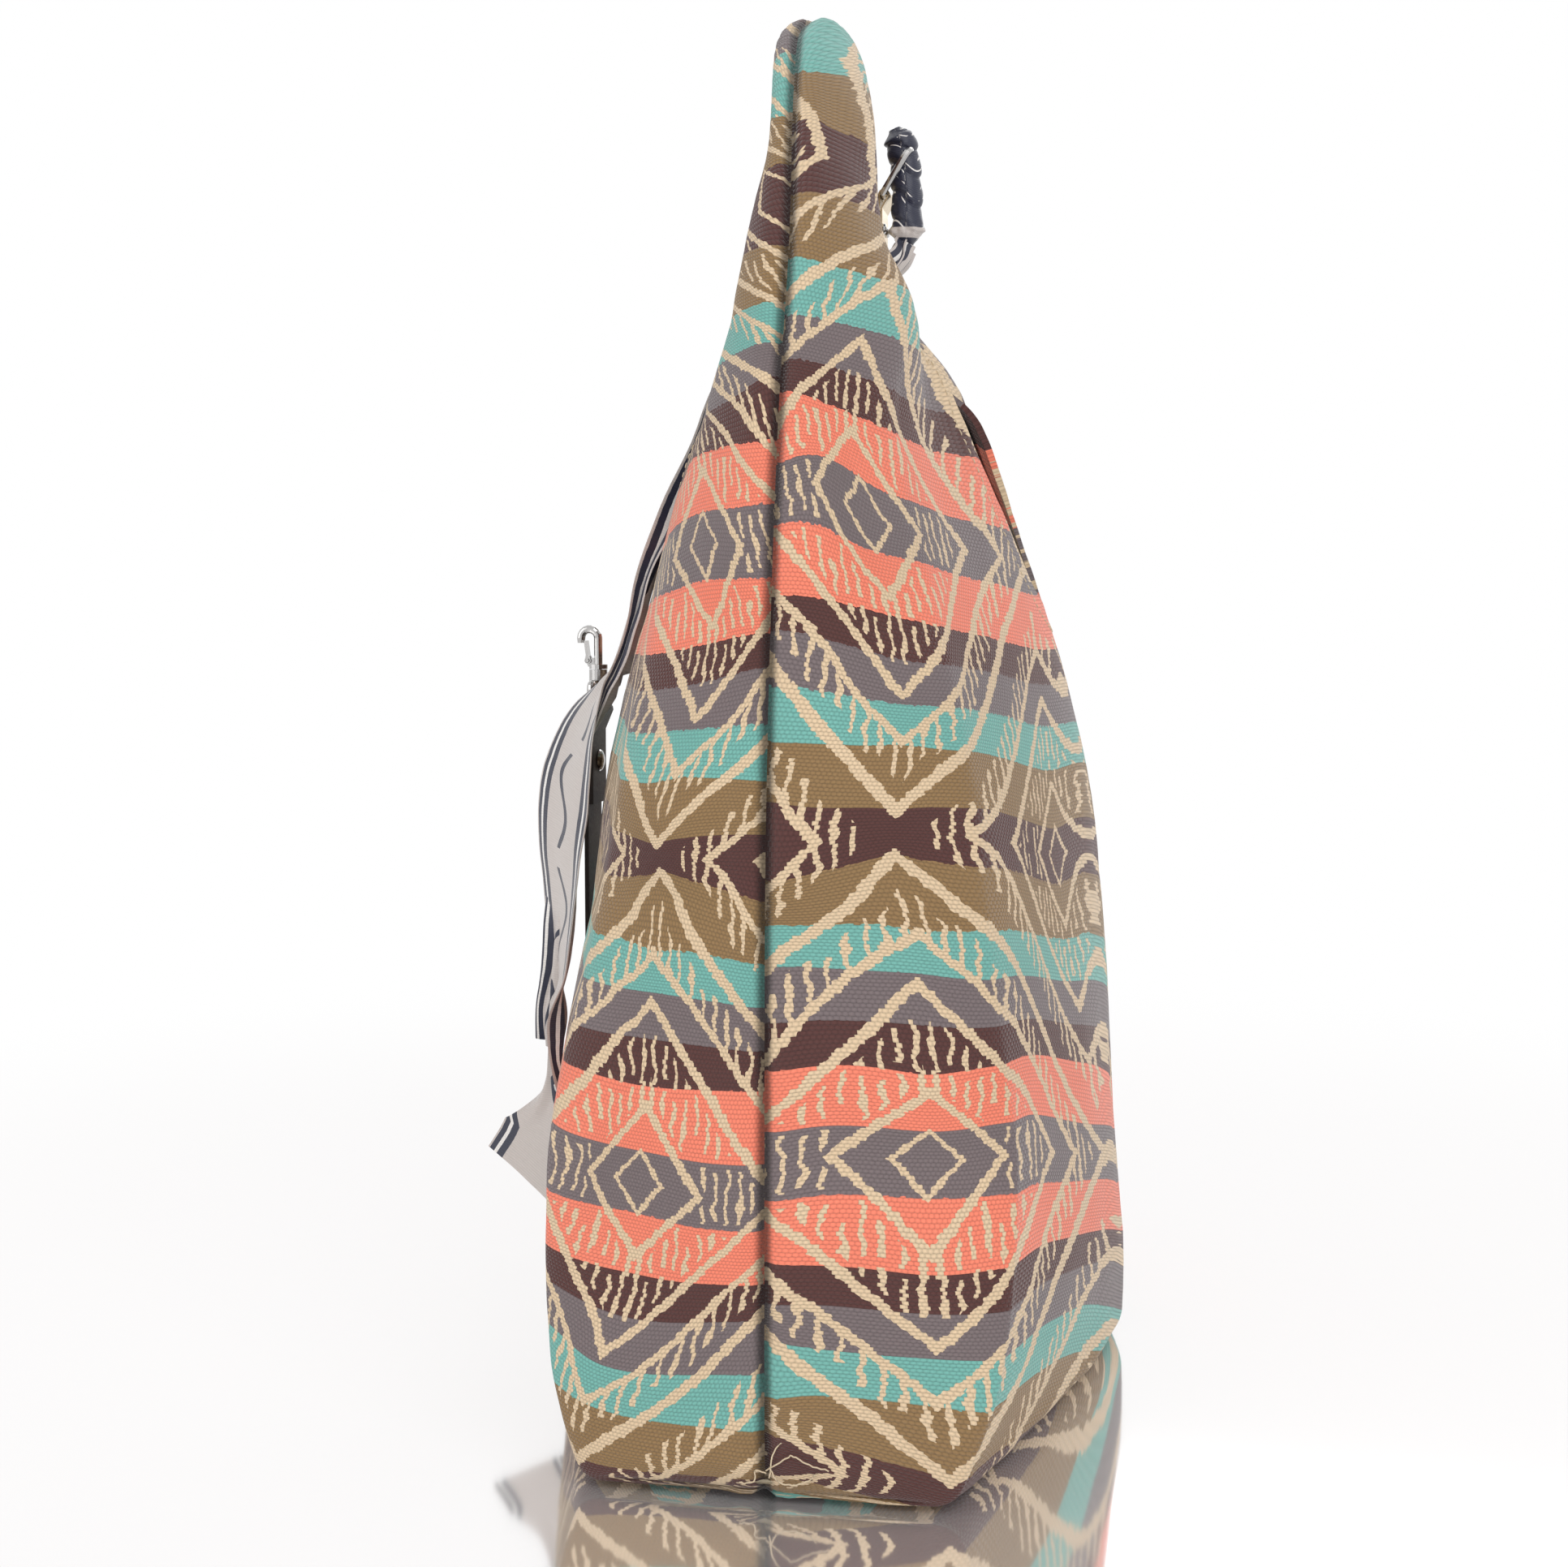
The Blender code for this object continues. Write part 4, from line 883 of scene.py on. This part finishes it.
def metal(name, colour, roughness):
    """Polished metal with faint hairlines and a little uneven gloss."""
    scratch = 0.06
    shader = Shader(name, roughness=roughness, metallic=1.0)
    where = shader.place()
    drawn = shader.read(shader.node("Mapping", {"Scale": (900, 900, 120), "Vector": where}))
    cloud = shader.noise(where, 140.0, 3.0)
    shader.set("Roughness", cloud * (scratch * 2) + (roughness - scratch / 2))
    shader.set("Base Color", shader.mix(cloud, colour, tuple(0.86 * c for c in colour[:3]) + (1.0,)))
    shader.bump(shader.noise(drawn, 1.0, 3.0), 0.00002, 0.25)
    return shader.material


def leather_material():
    """Dark leather with a fine pebbled grain and a broad, uneven tone."""
    shader = Shader("dark_leather", roughness=0.5)
    where = shader.place()
    pebbles = shader.node("TexVoronoi", {"Vector": where, "Scale": 900}, feature="DISTANCE_TO_EDGE")
    fine = shader.noise(where, 700.0, 3.0)
    broad = shader.noise(where, 60.0, 3.0)
    shader.set("Base Color", shader.ramp(broad, [(0.3, srgb(50, 44, 44)), (0.7, srgb(72, 63, 60))], "LINEAR"))
    shader.set("Roughness", fine * 0.22 + 0.42)
    shader.bump(shader.read(pebbles, "Distance") * 2.5 + fine, 0.00015, 0.6)
    return shader.material


def satin_material():
    """Ribbed satin ribbon, read across from -1 to 1 and along in centimetres: borders in navy and white
    round a pale middle with a loose flourish drawn along it, which the flared end doesn't have."""
    shader = Shader("scarf_satin", roughness=0.42)
    across, along, flared = shader.cloth()
    flat = shader.vector(across, along)
    sway = (shader.noise(flat, 2.0) - 0.5) * 0.02
    colour = shader.ramp(1.0 - abs(across) + sway, [
        (0.0, RIBBON), (0.035, NAVY), (0.14, PAPER), (0.21, NAVY), (0.35, RIBBON)])
    path = (along * 1.5).to("SINE") * 0.25 + (along * 0.7).to("SINE") * 0.15
    pen = shader.noise(flat, 1.4) * 0.05 + 0.05
    flourish = (abs(across - path) < pen) * (along.to("PINGPONG", 2.6) > 0.45) * (flared < 0.3)
    ribs = (along * (2 * math.pi / 0.11)).to("SINE")
    shader.tint(shader.mix(flourish, colour, NAVY), ribs * 0.045 + 0.95)
    shader.bump(ribs * 0.5 + shader.noise(flat, 30.0, 2.0), 0.00012, 0.5)
    shader.set("Sheen Weight", 0.2)
    return shader.material


def wound_material():
    """Navy satin wound in turns, with pale curved lines; read along the coil and round it, in turns."""
    shader = Shader("wound_satin", roughness=0.36)
    turn, around, edge = shader.cloth()
    bend = (around * (4 * math.pi)).to("SINE") * 0.16
    lines = shader.ramp((turn + bend).to("FRACT"), [
        (0.0, NAVY), (0.22, PAPER), (0.29, NAVY), (0.62, PAPER), (0.67, NAVY)])
    patches = shader.noise(shader.vector(turn, around * 3.0), 1.3, 1.0)
    shader.set("Base Color", shader.mix(edge, shader.mix(patches > 0.50, NAVY, lines), RIBBON))
    shader.bump((turn * 90.0).to("SINE"), 0.00008, 0.4)
    shader.set("Sheen Weight", 0.15)
    return shader.material


def build_camera():
    """The camera of the photograph."""
    data = bpy.data.cameras.new("camera")
    data.sensor_width = SENSOR
    data.lens = CAMERA_LENS
    data.clip_start = 0.01
    camera = bpy.data.objects.new("camera", data)
    camera.location = CAMERA_PLACE
    camera.rotation_euler = Vector(camera_look()).to_track_quat("-Z", "Y").to_euler()
    bpy.context.scene.collection.objects.link(camera)
    bpy.context.scene.camera = camera


def area_light(name, place, size, power):
    """Square light that faces the bag."""
    data = bpy.data.lights.new(name, "AREA")
    data.shape = "RECTANGLE"
    data.size = data.size_y = size
    data.energy = power
    lamp = bpy.data.objects.new(name, data)
    lamp.location = place
    lamp.rotation_euler = (Vector(LIT_SPOT) - Vector(place)).to_track_quat("-Z", "Y").to_euler()
    bpy.context.scene.collection.objects.link(lamp)


def build_floor():
    """Pale glossy floor, white to the camera past the contact shadow."""
    mesh = bpy.data.meshes.new("floor")
    corners = ((-1, -1), (1, -1), (1, 1), (-1, 1))
    mesh.from_pydata([(x * FLOOR_REACH, y * FLOOR_REACH, 0) for x, y in corners], [], [(0, 1, 2, 3)])
    shader = Shader("floor_white")
    matt = shader.node("BsdfDiffuse", {"Color": FLOOR_MATT})
    gloss = shader.node("BsdfAnisotropic", {"Color": FLOOR_GLOSS, "Roughness": FLOOR_ROUGHNESS})
    seen = shader.read(shader.node("LightPath"), "Is Camera Ray")
    lift = shader.node("Emission", {"Strength": seen * FLOOR_LIFT})
    near = shader.node("AddShader", {0: shader.node("AddShader", {0: matt, 1: gloss}), 1: lift})
    distance = shader.read(shader.node("VectorMath", {0: shader.place()}, operation="LENGTH"), "Value")
    away = shader.ease(distance, *FLOOR_WHITE_FROM) * seen
    spread = shader.node("MixShader", {0: away, 1: near, 2: shader.node("Emission")})
    shader.put(shader.tree.nodes["Material Output"].inputs["Surface"], spread)
    shader.tree.nodes.remove(shader.surface)
    floor = link("floor", mesh, shader.material)
    floor.location.z = -0.0004


def build_studio():
    """White studio, dimmer where it only lights, and its lamps."""
    world = bpy.data.worlds.new("studio")
    world.use_nodes = True
    bpy.context.scene.world = world
    nodes = Nodes(world.node_tree)
    path = nodes.node("LightPath")
    seen = nodes.read(path, "Is Camera Ray").to("MAXIMUM", nodes.read(path, "Is Glossy Ray"))
    background = nodes.tree.nodes["Background"]
    nodes.put(background.inputs["Color"], WHITE)
    nodes.put(background.inputs["Strength"], nodes.node("MapRange", {"To Min": STUDIO_DIMMED, "Value": seen}))
    for name, place, size, power in LIGHTS:
        area_light(name, place, size, power)
    bpy.context.scene.view_settings.view_transform = "Standard"


def build_canvas(material):
    """Both canvas panels, as one shaped piece each; gives their surfaces for the stitching."""
    grids = {}
    for name, node, side in (("canvas_back", "back_panel", 1), ("canvas_front", "front_panel", -1)):
        points, normals, cloth, stations = panel_grid(side)
        from_mouth, from_seam = edge_distances(points)
        height = relief(points, from_mouth, from_seam, stations)
        outer = points + normals * height[:, :, None]
        outer[:, -1, 1] += side * HALVES_APART
        outer[:, :, 2] = np.maximum(outer[:, :, 2], OFF_FLOOR)
        thick = CANVAS + HEM_PADDED * np.clip((HEM - from_mouth) / HEM, 0, 1)
        inner = points - normals * thick[:, :, None]
        piece = grid_piece(name, outer, inner, cloth, material, True)
        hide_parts(node)
        grids[side] = (outer, normals, from_mouth)
    return grids


def build_lining(material):
    """Slack cotton lining inside both panels."""
    half = [u for u in AROUND if u <= LINING_TO / STATIONS]
    rows = [-u for u in half[:0:-1]] + half
    columns = [s for s in ACROSS if s >= LINING_FROM]
    order = [(s, -1) for s in columns] + [(s, 1) for s in columns[-2::-1]]
    grid = np.zeros((len(rows), len(order), 3))
    cloth = np.zeros_like(grid)
    for i, u in enumerate(rows):
        for j, (s, side) in enumerate(order):
            x, y, z, shift, _ = panel_point(u, s, side)
            grid[i, j] = (x, y + shift, z)
            cloth[i, j] = (x * 100, z * 100 + y * 20, 0)
    along = np.gradient(grid, axis=0)
    across = np.gradient(grid, axis=1)
    normals = unit(np.cross(across, along))
    if normals[len(rows) // 2, 3, 1] > 0:
        normals = -normals
    slack = np.array([[1 + noise.noise(Vector(p) * LINING_WAVES) for p in row] for row in grid])
    outer = grid - normals * (CANVAS + LINING_GAP + LINING_SLACK * slack)[:, :, None]
    inner = outer - normals * LINING_THICKNESS
    piece = grid_piece("cotton_lining", outer, inner, cloth, material, False)
    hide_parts("lining")


def even_curve(points, rows):
    """The curve through the points, at so many even steps of u."""
    return np.array([spline(points, (len(points) - 1) * i / rows) for i in range(rows + 1)])


def directions(centre, sideways):
    """Unit vectors square to a line: on the side asked for, and square to that."""
    along = unit(np.gradient(centre, axis=0))
    side = unit(sideways - along * np.sum(sideways * along, axis=1, keepdims=True))
    return side, np.cross(along, side)


def strip(name, stations, material, gather, cut, flared_from=2.0, seed=0):
    """Ribbon through stations (x, y, z, turn), and its length. gather lists (share of its length, share of
    its width), cut is how much shorter its first edge ends, and past flared_from, a share of its length, it
    opens from its second edge."""
    rows, columns = 170, 28
    line = even_curve(stations, rows)
    centre, turn = line[:, :3], np.radians(line[:, 3])
    wide, face = directions(centre, np.stack([np.cos(turn), np.sin(turn), np.zeros(rows + 1)], axis=1))
    run = run_along(centre)
    shares = np.linspace(-1, 1, columns + 1)
    outer = np.zeros((rows + 1, columns + 1, 3))
    inner = np.zeros_like(outer)
    cloth = np.zeros_like(outer)
    for i in range(rows + 1):
        narrow = broken_line(gather, run[i] / run[-1])
        pleat = PLEAT * smooth((1 - narrow) / 0.6)
        late = smooth((i / rows - 0.80) / 0.20)
        flared = smooth((run[i] / run[-1] - flared_from) / 0.03)
        for j, share in enumerate(shares):
            cut_off = late * cut * (1 - share) / 2
            at = max(i - cut_off / run[-1] * rows, 0.0)
            low = min(int(at), rows - 1)
            part = at - low
            spot = centre[low] * (1 - part) + centre[low + 1] * part
            fold = pleat * math.sin(share * 7.3 + seed) * (0.7 + 0.3 * math.cos(run[i] * 60 + seed))
            ripple = RIPPLE * noise.noise(Vector((share * 1.3 + seed, run[i] * 38, 0)))
            place = spot + wide[i] * share * SCARF_WIDTH / 2 * narrow
            place += face[i] * (fold + ripple + CURL * share * share)
            if place[2] < MOUTH_HEIGHT - 0.03 and place[0] > 0:
                place[1] = min(place[1], -half_width(place[0], place[2]) - RIBBON_REST)
            outer[i, j] = place + face[i] * SATIN / 2
            inner[i, j] = place - face[i] * SATIN / 2
            opened = 1 - (1 - share) * narrow
            cloth[i, j] = (share + (opened - share) * flared, (run[i] - cut_off) * 100, flared)
    return grid_piece(name, outer, inner, cloth, material, False), float(run[-1])


def build_tails(material):
    """Both satin tails, from the coil through the arch and over the front mouth edge."""
    x, y, z = COIL_LINE[-1]
    arch = [(x + 0.0125, y - 0.0118, z - 0.0120, 12), (x + 0.027, y - 0.0226, z - 0.0210, 18),
            (-0.030, -0.026, 0.462, 14), (-0.008, -0.042, 0.446, 11), (0.014, -0.0560, 0.417, 11),
            (0.028, -0.0690, 0.376, 11)]
    band = [(0.033, -0.0825, 0.342, 12), (0.034, -0.0895, 0.320, 16), (0.038, -0.0933, 0.305, 17),
            (0.041, -0.0967, 0.296, 17), (0.042, -0.1020, 0.288, 23), (0.042, -0.1115, 0.270, 34),
            (0.041, -0.1172, 0.252, 39), (0.038, -0.1210, 0.234, 41), (0.036, -0.1230, 0.216, 38),
            (0.034, -0.1236, 0.198, 33), (0.034, -0.1238, 0.180, 28), (0.034, -0.1245, 0.161, 22),
            (0.034, -0.1258, 0.143, 18)]
    end = [(0.034, -0.1266, 0.128, 22), (0.034, -0.1274, 0.112, 38), (0.034, -0.1288, 0.097, 56),
           (0.034, -0.1335, 0.081, 66), (0.034, -0.1418, 0.0655, 72)]
    start = [(x, y - 0.0014, z - 0.0012, 0), (x + 0.0045, y - 0.0041, z - 0.0062, 4)]
    gather = [(0, 0.26), (0.10, 0.30), (0.34, 0.40), (0.52, 0.48), (0.58, 0.95), (0.62, 1.0), (0.80, 1.0),
              (0.875, 0.16), (0.90, 0.22), (0.965, 1.0), (1, 1.0)]
    long_tail, length = strip("scarf_tail_over", start + arch + band + end, material, gather, 0.003, 0.88)
    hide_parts("scarf_tail_long")
    lower = [(px, py + 0.0040, pz - 0.0055, turn) for px, py, pz, turn in arch]
    aside = [0.0] * 5 + [0.003, 0.005, 0.005, 0.004, 0.004, 0.006, 0.008, 0.009]
    opened = [0] * 9 + [2, 9, 20, 32]
    out = [0.0] * 10 + [0.0010, 0.0034, 0.0062]
    beside = []
    for (sx, sy, sz, turn), drawn, more, away in zip(band, aside, opened, out):
        sine, cosine = math.sin(math.radians(turn)), math.cos(math.radians(turn))
        beside.append((sx - TAIL_GAP * sine - drawn * cosine,
                       sy + TAIL_GAP * cosine - drawn * sine - away, sz - 0.002, turn + more))
    sx, sy, sz, turn = beside[-1]
    beside.append((sx, sy + 0.0006, sz - 0.018, turn + 3))
    start = [(x, y + 0.0018, z - 0.0012, 0), (x + 0.0045, y - 0.0008, z - 0.0092, 4)]
    gather = [(0, 0.26), (0.12, 0.30), (0.40, 0.40), (0.60, 0.60), (0.70, 0.90), (0.84, 0.80), (0.90, 0.50),
              (0.95, 0.34), (1, 0.30)]
    short_tail, length = strip("scarf_tail_under", start + lower + beside, material, gather, 0.008, seed=2)
    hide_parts("scarf_tail_short")


def build_coil(material):
    """Scarf wound round its ring, as turns that lap over one another, with a frilled lower edge."""
    rows, columns = 130, 44
    centre = even_curve(COIL_LINE, rows)
    side, other = directions(centre, np.tile([1.0, 0.0, 0.0], (rows + 1, 1)))
    verts, cloth = [], []
    for i in range(rows + 1):
        u = i / rows
        end = 0.40 + 0.60 * smooth(min(u, 1 - u) / 0.12)
        for k in range(columns):
            a = 2 * math.pi * k / columns
            turn = COIL_TURNS * u + 0.8 * k / columns + 0.12 * math.sin(2 * a)
            lap = turn % 1.0
            crest = 0.80 + 0.24 * lap ** 0.6 * (1 - lap ** 8)
            frill = max(0.0, 1 - abs(u - 0.86) / 0.05) * 0.12 * (1 + math.sin(9 * a))
            r = COIL_RADIUS * end * (crest + frill) + 0.0003 * noise.noise(Vector((turn * 3, a * 2, 0)))
            verts.append(centre[i] + side[i] * r * math.cos(a) + other[i] * r * math.sin(a))
            cloth.append((turn, k / columns, 1.0 if abs(u - 0.88) < 0.045 else 0.0))
    coil = smooth_piece("coil", verts, tube_faces(rows + 1, columns), material)
    set_cloth(coil, cloth)
    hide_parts("scarf_coil")


def stitches(name, places, material, radius=THREAD_RADIUS):
    """Row of thread stitches: places are (point, direction, outward normal)."""
    profile = ((-0.5, 0.35, -0.6), (-0.25, 1.0, 0.5), (0.25, 1.0, 0.5), (0.5, 0.35, -0.6))
    verts, faces = [], []
    for point, direction, normal in places:
        along = Vector(direction).normalized()
        out = Vector(normal).normalized()
        across = along.cross(out).normalized()
        faces += tube_faces(len(profile), THREAD_SIDES, len(verts))
        for share, thick, lift in profile:
            centre = Vector(point) + along * share * STITCH_LENGTH + out * radius * lift
            verts += thread_ring(centre, across, out, radius * thick)
    smooth_piece(name, verts, faces, material)


def hem_stitching(grids, material):
    """Thread along the hem of the mouth and the arch, on both panels."""
    for side, label in ((1, "back"), (-1, "front")):
        outer, normals, from_mouth = grids[side]
        hem = [int(np.argmin(np.abs(row - HEM_THREAD))) for row in from_mouth]
        around = range(len(outer))
        places = even_places(outer[around, hem], normals[around, hem], HEM_SPACING)
        stitches("hem_thread_" + label, places, material)


def even_places(line, facing, spacing):
    """Points, directions and normals at an even spacing along a closed line of points."""
    line = np.concatenate([line, line[:1]])
    facing = np.concatenate([facing, facing[:1]])
    run = run_along(line)
    places = []
    for k in range(int(run[-1] / spacing)):
        at = (k + 0.5) * spacing
        i = min(int(np.searchsorted(run, at)) - 1, len(line) - 2)
        f = (at - run[i]) / max(run[i + 1] - run[i], 1e-9)
        places.append((line[i] * (1 - f) + line[i + 1] * f, line[i + 1] - line[i],
                       facing[i] * (1 - f) + facing[i + 1] * f))
    return places


def strap_stitching(material):
    """Thread along both edges of the leather strip, with two rows across it where it is sewn on."""
    low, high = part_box("closing_strap")
    start, top = low.z + STRAP_INSET, high.z - 0.012
    half = CLOSING_WIDTH / 2 - STRAP_INSET

    def face(z):
        return -half_width(0, z) - LEATHER - LEATHER_GAP

    places = []
    for x in (-half, half):
        for k in range(int((top - start - STRAP_INSET) / STRAP_SPACING)):
            z = start + STRAP_SPACING * (k + 0.5)
            places.append(((x, face(min(z, STRAP_SEWN_TO)), z), (0, 0, 1), (0, -1, 0)))
    for z in (start, STRAP_CROSSING):
        for k in range(4):
            places.append(((-half + 2 * half * (k + 0.5) / 4, face(z), z), (1, 0, 0), (0, -1, 0)))
    stitches("strap_thread", places, material, STRAP_THREAD_RADIUS)


def loose_threads(material):
    """Fine thread ends left where the end seam meets the bottom seam."""
    rng = np.random.default_rng(5)
    ends = ((0.022, 0.006, 1), (0.018, -0.002, -1), (0.012, 0.010, 1), (-0.009, -0.004, 1))
    for k, (reach, rise, curl) in enumerate(ends):
        points = []
        for i in range(24):
            u = i / 23
            x = HALF_LENGTH + 0.0012 + 0.0012 * math.sin(3 * u + k)
            y = 0.001 + reach * u + 0.0016 * math.sin(7 * u * curl + k)
            z = 0.012 + rise * math.sin(2.4 * u) + 0.0022 * math.sin(5.2 * u + 2 * k)
            points.append(Vector((x, y, z + 0.0006 * rng.random())))
        wire("thread_end_%d" % (k + 1), points, THREAD_END_RADIUS, material)


def wire(name, points, radius, material):
    """Thin round line through points, closed at its ends."""
    verts = []
    last = len(points) - 1
    for i, point in enumerate(points):
        tangent = (points[min(i + 1, last)] - points[max(i - 1, 0)]).normalized()
        first = tangent.orthogonal().normalized()
        verts += thread_ring(point, first, tangent.cross(first), radius)
    smooth_piece(name, verts, tube_faces(len(points), THREAD_SIDES), material)


def thread_material():
    """Pale thread with a fine twist."""
    shader = Shader("cream_thread", roughness=0.8)
    twist = shader.noise(shader.place(), 1500.0, 2.0)
    shader.set("Base Color", shader.mix(twist, srgb(222, 205, 178), srgb(190, 168, 138)))
    shader.bump(twist, 0.0001, 0.5)
    return shader.material


def dress(node, material):
    """Gives a node of the frame a finish in place of its plain one."""
    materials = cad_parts[node].data.materials
    materials.clear()
    materials.append(material)


def main():
    build_camera()
    build_floor()
    build_studio()
    grids = build_canvas(canvas_material())
    build_lining(plain_cloth("cotton", LINING, 0.06))
    chrome = metal("polished_steel", (0.50, 0.49, 0.48, 1.0), 0.14)
    leather = leather_material()
    thread = thread_material()
    build_coil(wound_material())
    build_tails(satin_material())
    hem_stitching(grids, thread)
    strap_stitching(thread)
    loose_threads(thread)
    for node in ("strap_rivet", "swivel_loop", "snap_hook", "hook_gate", "closing_ring", "scarf_ring",
                 "plate_rivet_1", "plate_rivet_2"):
        dress(node, chrome)
    dress("ring_plate", metal("pale_gold", srgb(226, 205, 170), 0.2))
    for node in ("closing_strap", "closing_tab"):
        dress(node, leather)


main()
